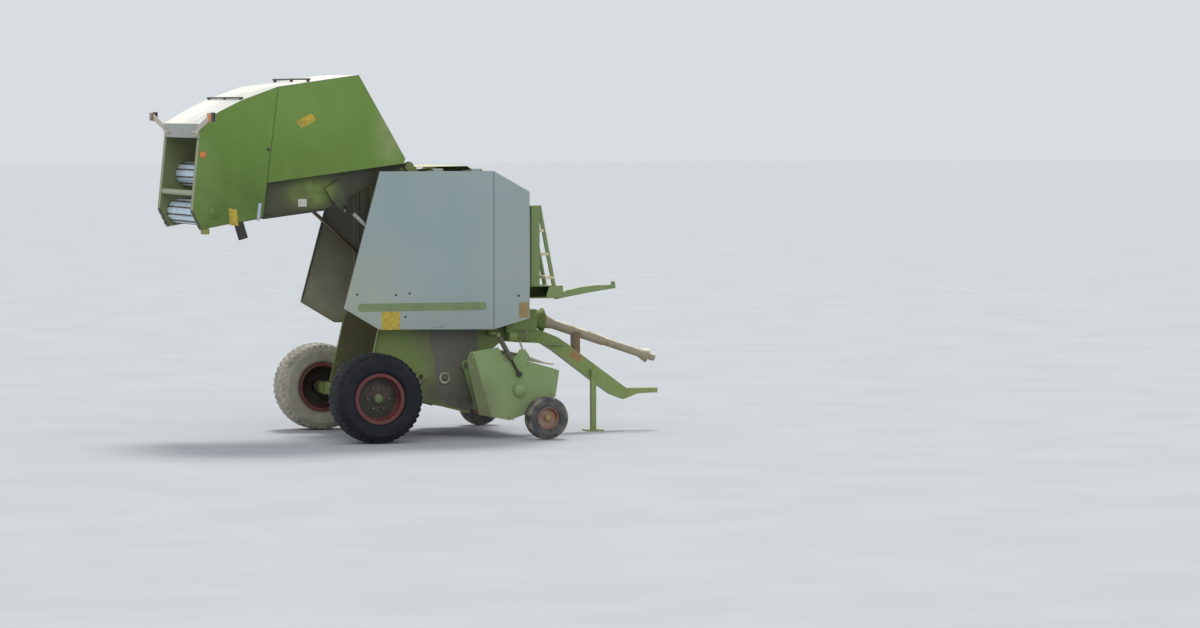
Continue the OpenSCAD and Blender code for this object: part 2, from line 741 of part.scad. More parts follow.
// Lamp brackets of bent flat bar, each with a lamp case inside and a lens outside it
module tail_lamps() {
    on_lower_face() for (side = [-1, 1]) on_side(side) {
        color(light_grey) translate([-sheet_t - face_gap - lamp_bar_t, 0, 0]) rotate([90, 0, 90])
            linear_extrude(lamp_bar_t) run_strip(lamp_bar, lamp_bar_w);
        color(red) span_box([-sheet_t - face_gap, lamp_case_d - sheet_t], lamp_y, lamp_z);
        color(red) span_box([-lens_out, -lens_out + lens_d], lamp_y + [lens_rim, -lens_rim],
            lamp_z + [lens_rim, -lens_rim]);
    }
}

// Side door: grey sheet with a folded rim and hinge knuckles above its top edge
module side_door(side) {
    placed() color(light_grey) on_side(side) {
        pan(door_outline, panel_y, panel_rim);
        for (x = door_ribs) translate([x, panel_in, door_low + 70]) linear_extrude(door_top - door_low - 140)
            polygon([[-door_rib_w / 2, 0], [door_rib_w / 2, 0], [door_rib_w / 2 - door_rib_d, -door_rib_d],
                [door_rib_d - door_rib_w / 2, -door_rib_d]]);
        for (x = door_knuckles) difference() {
            union() {
                translate([x, door_pin_y, door_pin_z]) rotate([0, 90, 0])
                    cylinder(r = door_knuckle_r, h = door_knuckle_l, $fn = 32);
                span_box([x, x + door_knuckle_l], [door_pin_y, door_pin_y + 7], [door_top - 2, door_pin_z]);
            }
            translate([x - 1, door_pin_y, door_pin_z]) rotate([0, 90, 0])
                cylinder(r = door_pin_r + run_fit, h = door_knuckle_l + 2, $fn = 32);
        }
    }
}
module side_door_right() { side_door(-1); }
module side_door_left() { side_door(1); }

// Turns a cylinder drawn along +Z from its base so that it points from p to q in the side profile
module aim(p, q) {
    translate([p[0], 0, p[1]]) rotate([0, 90 - atan2(q[1] - p[1], q[0] - p[0]), 0]) children();
}

// Barrel of a tailgate cylinder, from its pivot eye to the gland
module cylinder_barrel(side) {
    placed() color(black) on_side(side) translate([0, cyl_y, 0]) aim(cyl_base, raise(cyl_eye)) difference() {
        union() {
            translate([0, cyl_eye_w / 2, 0]) rotate([90, 0, 0]) cylinder(r = cyl_eye_r, h = cyl_eye_w, $fn = 48);
            translate([0, 0, 20]) cylinder(r = cyl_neck_r, h = cyl_foot_z, $fn = 48);
            translate([0, 0, cyl_foot_z]) cylinder(r = cyl_r, h = cyl_barrel_l - cyl_foot_z, $fn = 48);
            translate([0, 0, cyl_barrel_l - cyl_gland_l]) cylinder(r = cyl_r + 3, h = cyl_gland_l, $fn = 48);
        }
        translate([0, cyl_eye_w / 2 + 1, 0]) rotate([90, 0, 0])
            cylinder(r = cyl_pin_r + run_fit, h = cyl_eye_w + 2, $fn = 48);
        translate([0, 0, cyl_bore_z]) cylinder(r = cyl_bore_r, h = cyl_bore_l, $fn = 48);
        translate([0, 0, cyl_bore_z]) cylinder(r = cyl_rod_r + run_fit, h = cyl_barrel_l, $fn = 48);
    }
}
module cylinder_barrel_right() { cylinder_barrel(-1); }
module cylinder_barrel_left() { cylinder_barrel(1); }

// Rod of a tailgate cylinder with its piston and its eye, seated beside the tailgate's boss
module cylinder_rod(side) {
    rod_start = cyl_bore_z + cyl_bore_l - cyl_spare - cyl_piston_l;
    placed() color(steel) on_side(side) translate([0, cyl_y, 0]) aim(cyl_base, raise(cyl_eye)) {
        translate([0, 0, rod_start]) cylinder(r = cyl_rod_r, h = cyl_reach - rod_start - 20, $fn = 48);
        translate([0, 0, rod_start]) cylinder(r = cyl_bore_r - run_fit, h = cyl_piston_l, $fn = 48);
        translate([0, cyl_eye_w / 2, cyl_reach]) rotate([90, 0, 0]) cylinder(r = cyl_eye_r, h = cyl_eye_w, $fn = 48);
    }
}
module cylinder_rod_right() { cylinder_rod(-1); }
module cylinder_rod_left() { cylinder_rod(1); }

// Chamber roller: ribbed tube with pierced end discs on two stub shafts
module roller(slot) {
    p = roller_at(slot);
    half = wall_in - roller_gap;
    tip = wall_out + bearing_h + shaft_out;
    disc_in = 30;
    disc_t = 8;
    translate([p[0], 0, p[1]]) rotate([90, 0, 0]) {
        difference() {
            union() {
                cylinder(r = roller_r, h = 2 * half, center = true, $fn = 64);
                for (k = [0 : roller_ribs - 1]) rotate([0, 0, k * 360 / roller_ribs])
                    translate([roller_r - 2, -7, -half]) cube([roller_rib + 2, 14, 2 * half]);
            }
            cylinder(r = roller_r - roller_wall, h = 2 * half + 2, center = true, $fn = 64);
        }
        for (z = [half - disc_in - disc_t, -half + disc_in]) translate([0, 0, z]) difference() {
            cylinder(r = roller_r - roller_wall, h = disc_t, $fn = 64);
            for (k = [0 : 3]) rotate([0, 0, 90 * k]) translate([roller_r * 0.58, 0, -1])
                cylinder(r = 20, h = disc_t + 2, $fn = 32);
        }
        for (z = [half - disc_in - disc_t - 30, -tip]) translate([0, 0, z])
            cylinder(r = shaft_r, h = tip - half + disc_in + disc_t + 30, $fn = 32);
    }
}
module roller_front(n) { placed() color(steel) roller(front_slots[n - 1]); }
module roller_rear(n) { placed() raised() color(steel) roller(rear_slots[n - 1]); }

// Tyre profile turned round Y: open towards the rim, its beads between the rim's flanges
module tyre(r, w, bead_r, seat, lip, wall) {
    h = w / 2;
    rise = r - bead_r;
    outside = [[bead_r, seat], [bead_r + lip, seat], [bead_r + rise * 0.20, h * 0.94], [bead_r + rise * 0.42, h],
        [bead_r + rise * 0.64, h * 0.985], [bead_r + rise * 0.86, h * 0.90], [r - rise * 0.03, h * 0.76],
        [r, h * 0.46]];
    inside = [[bead_r - 1, seat - wall], [bead_r + lip + 4, seat - wall * 0.8], [bead_r + rise * 0.42, h - wall],
        [bead_r + rise * 0.82, h * 0.90 - wall], [r - wall, h * 0.60]];
    rotate([90, 0, 0]) rotate_extrude($fn = 72) difference() {
        polygon(concat(outside, far_side(outside)));
        polygon(concat(inside, far_side(inside)));
    }
}

// The same points in reverse on the other side of a wheel's middle plane
function far_side(points) = [for (p = reversed(points)) [p[0], -p[1]]];

// Rim turned round Y: flanged barrel, dished disc, hub with a running bore
module rim(r, half, disc_y, hub, bore, bolt_ring, bolt_r, bolts) {
    rotate([90, 0, 0]) difference() {
        union() {
            rotate_extrude($fn = 72) polygon([[r + flange_rise, -half - rim_t], [r + flange_rise, -half],
                [r, -half], [r, half], [r + flange_rise, half], [r + flange_rise, half + rim_t],
                [r - rim_t, half + rim_t], [r - rim_t, disc_y + 8], [hub - 2, disc_y + 24],
                [hub - 2, disc_y + 12], [r - rim_t, disc_y - 4], [r - rim_t, -half - rim_t]]);
            translate([0, 0, -hub]) cylinder(r = hub, h = hub + disc_y + 40, $fn = 48);
            for (k = [0 : bolts - 1]) rotate([0, 0, k * 360 / bolts]) translate([bolt_ring, 0, disc_y])
                cylinder(r = bolt_r, h = 38, $fn = 6);
        }
        translate([0, 0, -hub - 1]) cylinder(r = bore + run_fit, h = hub + disc_y + 32, $fn = 48);
    }
}

module main_tyre(side) {
    placed() color(black) on_side(side) translate([0, wheel_y, tyre_r]) tyre(tyre_r, tyre_w, rim_r, bead_half, flange_rise + bead_lip, 22);
}
module main_rim(side) {
    placed() color(red) on_side(side) translate([0, wheel_y, tyre_r]) mirror([0, 1, 0])
        rim(rim_r, bead_half, rim_disc_y, hub_r, spindle_r, nut_ring_r, nut_r, 6);
}
module tyre_right() { main_tyre(-1); }
module tyre_left() { main_tyre(1); }
module rim_right() { main_rim(-1); }
module rim_left() { main_rim(1); }

// Pick-up's side plates, rear tube, lifting arms and gauge wheel arms
module pickup_frame() {
    arm = [[pickup_pivot[0] - 30, pickup_pivot[1] - 20], [tube_at[0] - 34, tube_at[1] - 30],
        [tube_at[0] + tube_side / 2, tube_at[1] - 30], [pickup_pivot[0] + 60, pickup_pivot[1] - 10]];
    placed() color(green) {
        difference() {
            translate([tube_at[0] - tube_side / 2, -pickup_y + plate_t, tube_at[1] - tube_side / 2])
                cube([tube_side, 2 * (pickup_y - plate_t), tube_side]);
            translate([tube_at[0] - tube_side / 2 + 5, -pickup_y, tube_at[1] - tube_side / 2 + 5])
                cube([tube_side - 10, 2 * pickup_y, tube_side - 10]);
        }
        for (side = [-1, 1]) on_side(side) {
            difference() {
                slab(pickup_y - plate_t, plate_t) polygon(plate_outline);
                bar_y([reel_x, reel_z], reel_shaft_r + run_fit, pickup_y - plate_t - 1, pickup_y + 1);
            }
            difference() {
                bar_y([reel_x, reel_z], 60, pickup_y, pickup_y + 30);
                bar_y([reel_x, reel_z], reel_shaft_r + run_fit, pickup_y - 1, pickup_y + 31);
            }
            difference() {
                slab(pickup_arm_in, pickup_arm_t) union() {
                    polygon(arm);
                    translate(pickup_pivot) circle(r = 48, $fn = 48);
                }
                bar_y(pickup_pivot, pickup_pin_r + run_fit, pickup_arm_in - 1, pickup_arm_in + pickup_arm_t + 1);
                slab(pickup_arm_in - 1, pickup_arm_t + 2)
                    translate([tube_at[0] - tube_side / 2, tube_at[1] - tube_side / 2]) square(tube_side);
            }
            slab(pickup_y, 20) polygon([[1560, 330], [1640, 330], [gauge_x + 32, gauge_r], [gauge_x - 32, gauge_r]]);
            bar_y([gauge_x, gauge_r], 32, pickup_y, gauge_y - 62);
            bar_y([gauge_x, gauge_r], gauge_spindle_r, pickup_y, gauge_y + 40);
            bar_y(lift_low, 22, pickup_y, lift_y - lift_eye_w / 2 - face_gap);
            slab(pickup_y - plate_t, plate_t) polygon([[1400, 768], [1540, 735], [1550, 800], [1510, 856],
                [1455, 856]]);
        }
    }
}

// Curved stripper bands that the tines pass between
module pickup_bands() {
    reach = pickup_y - plate_t;
    // Flat end of the upper tails, from the reel's axis
    rear_x = -204;
    flat_x = -174;
    flat_z = band_r - 6;
    placed() color(steel) {
        for (k = [0 : tine_pairs * 2]) {
            y = -tine_pitch * tine_pairs / 2 + (k - 0.25) * tine_pitch / 2 + tine_pitch / 8 - band_w / 2;
            translate([reel_x, y, reel_z]) band(rear_x, flat_x, flat_z);
        }
        span_box([reel_x + rear_x, reel_x + flat_x], [-reach, reach], [reel_z + flat_z, reel_z + flat_z + 6]);
    }
}

// One band: a half ring open to the rear with straight tails
module band(rear_x, flat_x, flat_z) {
    tail_x = tube_at[0] + tube_side / 2 - reel_x;
    tail_z = tube_at[1] - tube_side / 2 + 6 - reel_z;
    translate([0, band_w, 0]) rotate([90, 0, 0]) {
        rotate([0, 0, -90]) rotate_extrude(angle = 180, $fn = 64)
            translate([band_r - band_t, 0]) square([band_t, band_w]);
        linear_extrude(band_w) union() {
            polygon([[0, band_r], [flat_x, flat_z], [rear_x, flat_z], [rear_x, flat_z - band_t],
                [flat_x, flat_z - band_t], [0, band_r - band_t]]);
            polygon([[0, -band_r], [0, -band_r + band_t], [tail_x, tail_z + band_t], [tail_x, tail_z]]);
        }
    }
}

// Wind guard over the reel: curved arms, a cross bar and hold-down tines
module wind_guard() {
    path = [[1455, 930], [1500, 800], [1577, 762], [1714, 712], [1800, 700]];
    placed() color(green) {
        for (side = [-1, 1]) on_side(side) slab(pickup_y - plate_t - 20, 20) run_strip(path, 14);
        bar_y([1505, 796], 16, -pickup_y + plate_t, pickup_y - plate_t);
        for (k = [0 : 17]) {
            y = -850 + k * 100;
            slab(y - 5, 10) run_strip([[1505, 800], [1577, 762], [1714, 712], [1800, 700]], 8);
        }
    }
}

// Reel: shaft, spiders, four tine bars and the double tines
module pickup_reel() {
    tip = pickup_y + 30;
    inner = pickup_y - plate_t - 12;
    placed() color(steel) translate([reel_x, 0, reel_z]) {
        rotate([90, 0, 0]) cylinder(r = reel_shaft_r, h = 2 * tip, center = true, $fn = 48);
        for (y = [-inner, -inner / 3, inner / 3 - 8, inner - 8])
            translate([0, y + 8, 0]) rotate([90, 0, 0]) cylinder(r = bar_ring_r + 20, h = 8, $fn = 48);
        for (b = [0 : bar_count - 1]) rotate([0, b * 360 / bar_count, 0]) {
            translate([bar_ring_r, 0, 0]) rotate([90, 0, 0]) cylinder(r = bar_r, h = 2 * inner, center = true, $fn = 24);
            for (k = [0 : 2 * tine_pairs - 1])
                translate([bar_ring_r, (k - tine_pairs + 0.5) * tine_spread, 0]) tine();
        }
    }
}

// Tine: a leg from its bar, raked back, that ends at the tips' radius
module tine() {
    leg = sqrt(pow(tine_r, 2) - pow(bar_ring_r * sin(tine_rake), 2)) - bar_ring_r * cos(tine_rake);
    rotate([0, 90 + tine_rake, 0]) cylinder(r = tine_wire_r, h = leg, $fn = 16);
}

module gauge_tyre(side) {
    placed() color(black) on_side(side) translate([gauge_x, gauge_y, gauge_r])
        tyre(gauge_r, gauge_w, gauge_rim_r, gauge_half, 6, 12);
}
module gauge_rim(side) {
    half = gauge_half;
    r = gauge_rim_r;
    placed() color(red) on_side(side) translate([gauge_x, gauge_y, gauge_r]) rotate([90, 0, 0]) difference() {
        union() {
            rotate_extrude($fn = 48) polygon([[r - 6, -half], [r, -half], [r, half], [r - 6, half], [r - 6, 6],
                [30, 6], [30, -6], [r - 6, -6]]);
            translate([0, 0, -half]) cylinder(r = 30, h = 2 * half, $fn = 48);
        }
        translate([0, 0, -half - 1]) cylinder(r = gauge_spindle_r + run_fit, h = 2 * half + 2, $fn = 48);
    }
}
module gauge_tyre_right() { gauge_tyre(-1); }
module gauge_tyre_left() { gauge_tyre(1); }
module gauge_rim_right() { gauge_rim(-1); }
module gauge_rim_left() { gauge_rim(1); }

// Pick-up lift: barrel hung from the chassis pin
module lift_barrel(side) {
    placed() color(black) on_side(side) translate([0, lift_y, 0]) aim(lift_top, lift_low) difference() {
        union() {
            translate([0, lift_eye_w / 2, 0]) rotate([90, 0, 0]) cylinder(r = lift_eye_r, h = lift_eye_w, $fn = 48);
            translate([0, 0, 15]) cylinder(r = lift_neck_r, h = lift_foot_z, $fn = 48);
            translate([0, 0, lift_foot_z]) cylinder(r = lift_barrel_r, h = lift_barrel_l - lift_foot_z, $fn = 48);
        }
        translate([0, lift_eye_w / 2 + 1, 0]) rotate([90, 0, 0])
            cylinder(r = lift_pin_r + run_fit, h = lift_eye_w + 2, $fn = 48);
        translate([0, 0, 60]) cylinder(r = lift_rod_r + run_fit, h = lift_barrel_l, $fn = 48);
    }
}
module lift_barrel_right() { lift_barrel(-1); }
module lift_barrel_left() { lift_barrel(1); }

// Pick-up lift: rod with its eye beside the pick-up's boss
module lift_rod(side) {
    reach = span_of(lift_top, lift_low);
    placed() color(steel) on_side(side) translate([0, lift_y, 0]) aim(lift_top, lift_low) {
        translate([0, 0, 150]) cylinder(r = lift_rod_r, h = reach - 165, $fn = 48);
        translate([0, lift_eye_w / 2, reach]) rotate([90, 0, 0]) cylinder(r = lift_eye_r, h = lift_eye_w, $fn = 48);
    }
}
module lift_rod_right() { lift_rod(-1); }
module lift_rod_left() { lift_rod(1); }

// Swing-down parking stand on the drawbar's right side
module stand_leg() {
    placed() color(green) difference() {
        union() {
            span_box([stand_pivot[0] - stand_tube / 2, stand_pivot[0] + stand_tube / 2],
                [stand_y - stand_tube / 2, stand_y + stand_tube / 2], [foot_t, stand_pivot[1] + 40]);
            span_box([stand_pivot[0] - foot_side / 2, stand_pivot[0] + foot_side / 2],
                [stand_y - foot_side / 2, stand_y + foot_side / 2], [0, foot_t]);
        }
        bar_y(stand_pivot, stand_pin_r + run_fit, stand_y - stand_tube, stand_y + stand_tube);
    }
}

side_walls();
cross_beams();
axle();
corner_panels();
front_cover();
top_cover();
gearbox();
drawbar();
hitch_tongue();
pto_shaft();
pto_rest();
ladder();
hose_arm();
feed_floor();
tailgate_walls();
tailgate_covers();
tailgate_skin();
tailgate_tubes();
tail_lamps();
side_door_right();
side_door_left();
cylinder_barrel_right();
cylinder_barrel_left();
cylinder_rod_right();
cylinder_rod_left();
roller_front(1);  // roller_front_1
roller_front(2);  // roller_front_2
roller_front(3);  // roller_front_3
roller_front(4);  // roller_front_4
roller_front(5);  // roller_front_5
roller_front(6);  // roller_front_6
roller_front(7);  // roller_front_7
roller_rear(1);  // roller_rear_1
roller_rear(2);  // roller_rear_2
roller_rear(3);  // roller_rear_3
roller_rear(4);  // roller_rear_4
roller_rear(5);  // roller_rear_5
roller_rear(6);  // roller_rear_6
roller_rear(7);  // roller_rear_7
tyre_right();
tyre_left();
rim_right();
rim_left();
pickup_frame();
pickup_bands();
wind_guard();
pickup_reel();
gauge_tyre_right();
gauge_tyre_left();
gauge_rim_right();
gauge_rim_left();
lift_barrel_right();
lift_barrel_left();
lift_rod_right();
lift_rod_left();
stand_leg();
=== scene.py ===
"""Looks of a round baler, built around the frame that its CAD model gives.

Lengths are metres in the frame's own axes: X forward along the drawbar, Y to the left, Z up from the
ground. Profile places are measured from the axle, as on the machine's side drawing.
"""

import json
import logging
import math
from collections.abc import Iterable, Sequence
from dataclasses import dataclass
from enum import Enum
from functools import cache
from typing import TypeAlias

import bpy
from bpy.types import Material, NodeSocket, Object
from mathutils import Matrix, Vector


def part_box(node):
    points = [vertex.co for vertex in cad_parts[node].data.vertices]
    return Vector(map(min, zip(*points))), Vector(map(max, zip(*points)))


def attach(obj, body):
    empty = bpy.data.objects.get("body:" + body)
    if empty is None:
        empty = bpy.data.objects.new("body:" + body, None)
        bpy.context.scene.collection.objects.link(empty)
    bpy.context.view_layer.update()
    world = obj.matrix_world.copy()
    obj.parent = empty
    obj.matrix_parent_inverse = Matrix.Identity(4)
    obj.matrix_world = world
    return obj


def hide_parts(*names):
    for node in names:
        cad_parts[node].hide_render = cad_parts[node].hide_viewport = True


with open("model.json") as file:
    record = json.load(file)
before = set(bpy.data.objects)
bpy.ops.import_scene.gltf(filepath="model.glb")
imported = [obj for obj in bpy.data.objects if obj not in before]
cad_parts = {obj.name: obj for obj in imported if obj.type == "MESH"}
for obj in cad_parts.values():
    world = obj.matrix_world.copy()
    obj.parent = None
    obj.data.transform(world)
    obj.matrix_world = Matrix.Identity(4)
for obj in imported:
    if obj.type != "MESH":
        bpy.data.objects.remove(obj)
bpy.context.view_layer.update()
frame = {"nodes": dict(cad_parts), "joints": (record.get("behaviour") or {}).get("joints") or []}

Place: TypeAlias = tuple[float, float, float]
Spot: TypeAlias = tuple[float, float]
Outline: TypeAlias = tuple[Spot, ...]
Rgb: TypeAlias = tuple[int, int, int]
Value: TypeAlias = NodeSocket | float

log = logging.getLogger("baler")


class Slot(Enum):
    """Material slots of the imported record."""

    GREEN = "green_paint"
    GREY = "grey_paint"
    WHITE = "white_paint"
    STEEL = "worn_steel"
    BLACK = "black_paint"
    CHROME = "rod_chrome"
    TYRE = "tyre_rubber"
    RIM = "rim_red"
    GAUGE_RIM = "rim_orange"
    LAMP = "lamp_red"
    GUARD = "guard_plastic"
    BRACKET = "bracket_red"


class Side(Enum):
    """Sides of the machine, by the sign of Y."""

    RIGHT = -1
    LEFT = 1

    @property
    def word(self) -> str:
        """The side's name as the frame writes it."""
        return self.name.lower()

    @property
    def out(self) -> Place:
        """Direction from the machine's middle plane to this side."""
        return (0, self.value, 0)

    def y(self, distance: float) -> float:
        """Y at a distance from the machine's middle plane on this side."""
        return self.value * distance


class Half(Enum):
    """Front and rear, by the word in the names of rollers, bolts and bars."""

    FRONT = "front"
    REAR = "rear"


SIDES = (Side.RIGHT, Side.LEFT)


def linear(colour: Rgb) -> tuple[float, float, float, float]:
    """Turns a display colour, from 0 to 255, into the linear one with a full alpha that shaders take."""
    return (*(((c / 255 + 0.055) / 1.055) ** 2.4 if c > 10 else c / 255 / 12.92 for c in colour), 1.0)


def middle(node: str) -> Vector:
    """Centre of a CAD node's box, in metres."""
    low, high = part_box(node)
    return (low + high) / 2


def joint_named(name: str) -> dict:
    """The frame's joint of that name."""
    return next(j for j in frame["joints"] if j["name"] == name)


AXLE = middle("axle")
HINGE = Vector(joint_named("tailgate_hinge")["pos_m"])
OPEN_ANGLE = math.radians(-joint_named("tailgate_hinge")["range_deg"][0])
DOOR_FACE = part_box("side_door_left")[1].y
COVER_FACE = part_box("tailgate_covers")[1].y
# Distance of the bearings' flanges from the middle plane, and how far a film starts inside its face.
BEARING_FACE = 0.621
SUNK = 0.0004
ROLLERS = range(1, 8)
QUARTER = math.pi / 2


def at(x: float, z: float) -> Spot:
    """Moves a profile place measured from the axle into the frame."""
    return AXLE.x + x, z


def lifted(x: float, z: float) -> Spot:
    """Turns a profile place of the closed tailgate to where the raised tailgate holds it.

    Args:
        x: Distance ahead of the axle.
        z: Height above the ground.

    Returns:
        X and Z in the frame.
    """
    out, up = AXLE.x + x - HINGE.x, z - HINGE.z
    turn_c, turn_s = math.cos(OPEN_ANGLE), math.sin(OPEN_ANGLE)
    return HINGE.x + out * turn_c + up * turn_s, HINGE.z - out * turn_s + up * turn_c


def placed(spots: Iterable[Spot]) -> list[Spot]:
    """Moves profile places measured from the axle into the frame."""
    return [at(*spot) for spot in spots]


def raised(spots: Iterable[Spot]) -> list[Spot]:
    """Turns profile places of the closed tailgate to where the raised tailgate holds them."""
    return [lifted(*spot) for spot in spots]


def around(centre: Spot, radius: float, turns: Iterable[float]) -> list[Spot]:
    """Places on a circle of the side view, at turns in radians from ahead towards up."""
    return [(centre[0] + radius * math.cos(turn), centre[1] + radius * math.sin(turn)) for turn in turns]


def corners(low: Spot, high: Spot) -> Outline:
    """Corners of a rectangle between two opposite ones."""
    return (low, (high[0], low[1]), high, (low[0], high[1]))


def rounded(outline: Sequence[Spot], radius: float, steps: int = 4) -> list[Spot]:
    """Rounds each corner of a closed outline.

    Args:
        outline: Its corners.
        radius: Distance from a corner at which its round starts.
        steps: Chords in each round.

    Returns:
        The points of the rounded outline.
    """
    made = []
    for before, here, after in zip([outline[-1], *outline], outline, [*outline[1:], outline[0]]):
        p, a, b = Vector(here), Vector(before), Vector(after)
        start = p + (a - p).normalized() * min(radius, (a - p).length / 2)
        end = p + (b - p).normalized() * min(radius, (b - p).length / 2)
        for k in range(steps + 1):
            t = k / steps
            made.append(tuple(start * (1 - t) ** 2 + p * 2 * t * (1 - t) + end * t**2))
    return made


class Bench:
    """The workshop: each call models one closed mesh whose object sits at the origin."""

    @staticmethod
    def clear() -> None:
        """Leaves nothing selected, CAD nodes included."""
        bpy.ops.object.select_all(action="DESELECT")

    @staticmethod
    def done(name: str, smooth: float = 32.0, weld: float = 1e-6) -> Object:
        """Closes a mesh that is being edited and puts its place into it.

        Args:
            name: The piece's name.
            smooth: Angle in degrees under which faces are shaded as one.
            weld: Distance under which points are merged.

        Returns:
            The finished piece.
        """
        bpy.ops.mesh.select_mode(type="VERT")
        bpy.ops.mesh.select_all(action="SELECT")
        bpy.ops.mesh.remove_doubles(threshold=weld)
        bpy.ops.mesh.normals_make_consistent(inside=False)
        bpy.ops.object.mode_set(mode="OBJECT")
        bpy.ops.object.transform_apply(location=True, rotation=True, scale=True)
        bpy.ops.object.shade_smooth_by_angle(angle=math.radians(smooth))
        part = bpy.context.object
        part.name = part.data.name = name
        return part

    @classmethod
    def trace(cls, points: Sequence[Place]) -> None:
        """Starts a mesh at the first point and draws edges through the rest, in edit mode.

        Args:
            points: The run's points.
        """
        cls.clear()
        bpy.ops.mesh.primitive_plane_add(size=1)
        bpy.ops.object.mode_set(mode="EDIT")
        bpy.ops.mesh.select_mode(type="VERT")
        bpy.ops.mesh.select_all(action="SELECT")
        bpy.ops.mesh.merge(type="CENTER")
        bpy.ops.transform.translate(value=points[0])
        for here, there in zip(points, points[1:]):
            step = Vector(there) - Vector(here)
            bpy.ops.mesh.extrude_region_move(TRANSFORM_OT_translate={"value": step})

    @classmethod
    def slab(cls, name: str, points: Sequence[Place], pull: Place, edge: float = 0.0) -> Object:
        """A flat outline filled and pulled to a thickness.

        Args:
            name: The piece's name.
            points: The outline's points, all in one plane.
            pull: How far and where the face is extruded.
            edge: Width of the bevel on its edges, or 0 for none.

        Returns:
            The piece.
        """
        cls.trace(points)
        bpy.ops.mesh.select_all(action="SELECT")
        bpy.ops.mesh.edge_face_add()
        bpy.ops.mesh.select_all(action="SELECT")
        bpy.ops.mesh.extrude_region_move(TRANSFORM_OT_translate={"value": pull})
        if edge:
            cls.sharp_edges()
            bpy.ops.mesh.bevel(offset=edge, segments=1, affect="EDGES", clamp_overlap=True)
        return cls.done(name)

    @staticmethod
    def sharp_edges(angle: float = 40.0) -> None:
        """Selects only the edges that turn by more than an angle, in edit mode.

        Args:
            angle: The angle in degrees.
        """
        bpy.ops.mesh.select_all(action="SELECT")
        bpy.ops.mesh.normals_make_consistent(inside=False)
        bpy.ops.mesh.select_all(action="DESELECT")
        bpy.ops.mesh.select_mode(type="EDGE")
        bpy.ops.mesh.edges_select_sharp(sharpness=math.radians(angle))

    @classmethod
    def side_slab(cls, name: str, spots: Sequence[Spot], face: float, depth: float,
                  edge: float = 0.0) -> Object:
        """A side outline in X and Z, pulled along Y from a face by a depth of either sign."""
        return cls.slab(name, [(x, face, z) for x, z in spots], (0, depth, 0), edge)

    @classmethod
    def box(cls, name: str, centre: Place, size: Place, edge: float = 0.002, tilt: float = 0.0) -> Object:
        """A bevelled block, turned about Y by a tilt in degrees.

        Args:
            name: The piece's name.
            centre: Its centre.
            size: Its lengths along X, Y and Z before it is turned.
            edge: Width of the bevel.
            tilt: Angle that lowers its front.

        Returns:
            The piece.
        """
        cls.clear()
        turn = (0, math.radians(tilt), 0)
        bpy.ops.mesh.primitive_cube_add(size=1, location=centre, rotation=turn, scale=size)
        bpy.ops.object.transform_apply(location=False, rotation=False, scale=True)
        bpy.ops.object.mode_set(mode="EDIT")
        bpy.ops.mesh.select_all(action="SELECT")
        bpy.ops.mesh.bevel(offset=edge, segments=2, affect="EDGES")
        return cls.done(name)

    @classmethod
    def turned(cls, name: str, profile: Sequence[Spot], steps: int = 48, smooth: float = 32.0) -> Object:
        """A profile of radius and height spun about Z through the origin.

        Args:
            name: The piece's name.
            profile: Points of radius and height, a closed ring unless its first and last radius are 0.
            steps: Steps of the spin.
            smooth: Angle in degrees under which faces are shaded as one.

        Returns:
            The piece.
        """
        solid = profile[0][0] == 0 and profile[-1][0] == 0
        cls.trace([(r, 0, h) for r, h in (profile if solid else [*profile, profile[0]])])
        bpy.ops.mesh.select_all(action="SELECT")
        bpy.ops.mesh.remove_doubles(threshold=1e-7)
        bpy.ops.mesh.spin(steps=steps, angle=2 * math.pi, center=(0, 0, 0), axis=(0, 0, 1))
        return cls.done(name, smooth)

    @classmethod
    def rod(cls, name: str, points: Sequence[Place], radius: float, sides: int = 3) -> Object:
        """A round bar along a run of points.

        Args:
            name: The piece's name.
            points: The run's points.
            radius: The bar's radius.
            sides: Bevel resolution of the bar's round, a quarter of its sides less one.

        Returns:
            The piece.
        """
        cls.trace(points)
        bpy.ops.object.mode_set(mode="OBJECT")
        bpy.ops.object.convert(target="CURVE")
        line = bpy.context.object.data
        line.bevel_depth = radius
        line.bevel_resolution = sides
        line.use_fill_caps = True
        bpy.ops.object.convert(target="MESH")
        bpy.ops.object.mode_set(mode="EDIT")
        return cls.done(name)

    @classmethod
    def flat_bar(cls, name: str, spots: Sequence[Spot], face: float, width: float, thick: float) -> Object:
        """A bent flat bar: a run in X and Z, thickened in its plane and pulled along Y.

        Args:
            name: The piece's name.
            spots: The run's points.
            face: Y of the bar's first side.
            width: Width along Y, of either sign.
            thick: Thickness of the bar.

        Returns:
            The piece.
        """
        cls.trace([(x, face, z) for x, z in spots])
        bpy.ops.mesh.select_all(action="SELECT")
        bpy.ops.mesh.extrude_region_move(TRANSFORM_OT_translate={"value": (0, width, 0)})
        bpy.ops.object.mode_set(mode="OBJECT")
        wall = bpy.context.object.modifiers.new("wall", "SOLIDIFY")
        wall.thickness = thick
        wall.offset = 0
        wall.use_even_offset = True
        bpy.ops.object.modifier_apply(modifier=wall.name)
        bpy.ops.object.mode_set(mode="EDIT")
        return cls.done(name)

    @classmethod
    def join(cls, name: str, parts: Sequence[Object]) -> Object:
        """Joins pieces into one, which keeps the first one's material.

        Args:
            name: Name of the joined piece.
            parts: The pieces, which are used up.

        Returns:
            The joined piece.
        """
        cls.clear()
        for part in parts:
            part.select_set(True)
        bpy.context.view_layer.objects.active = parts[0]
        if len(parts) > 1:
            bpy.ops.object.join()
        parts[0].name = parts[0].data.name = name
        return parts[0]

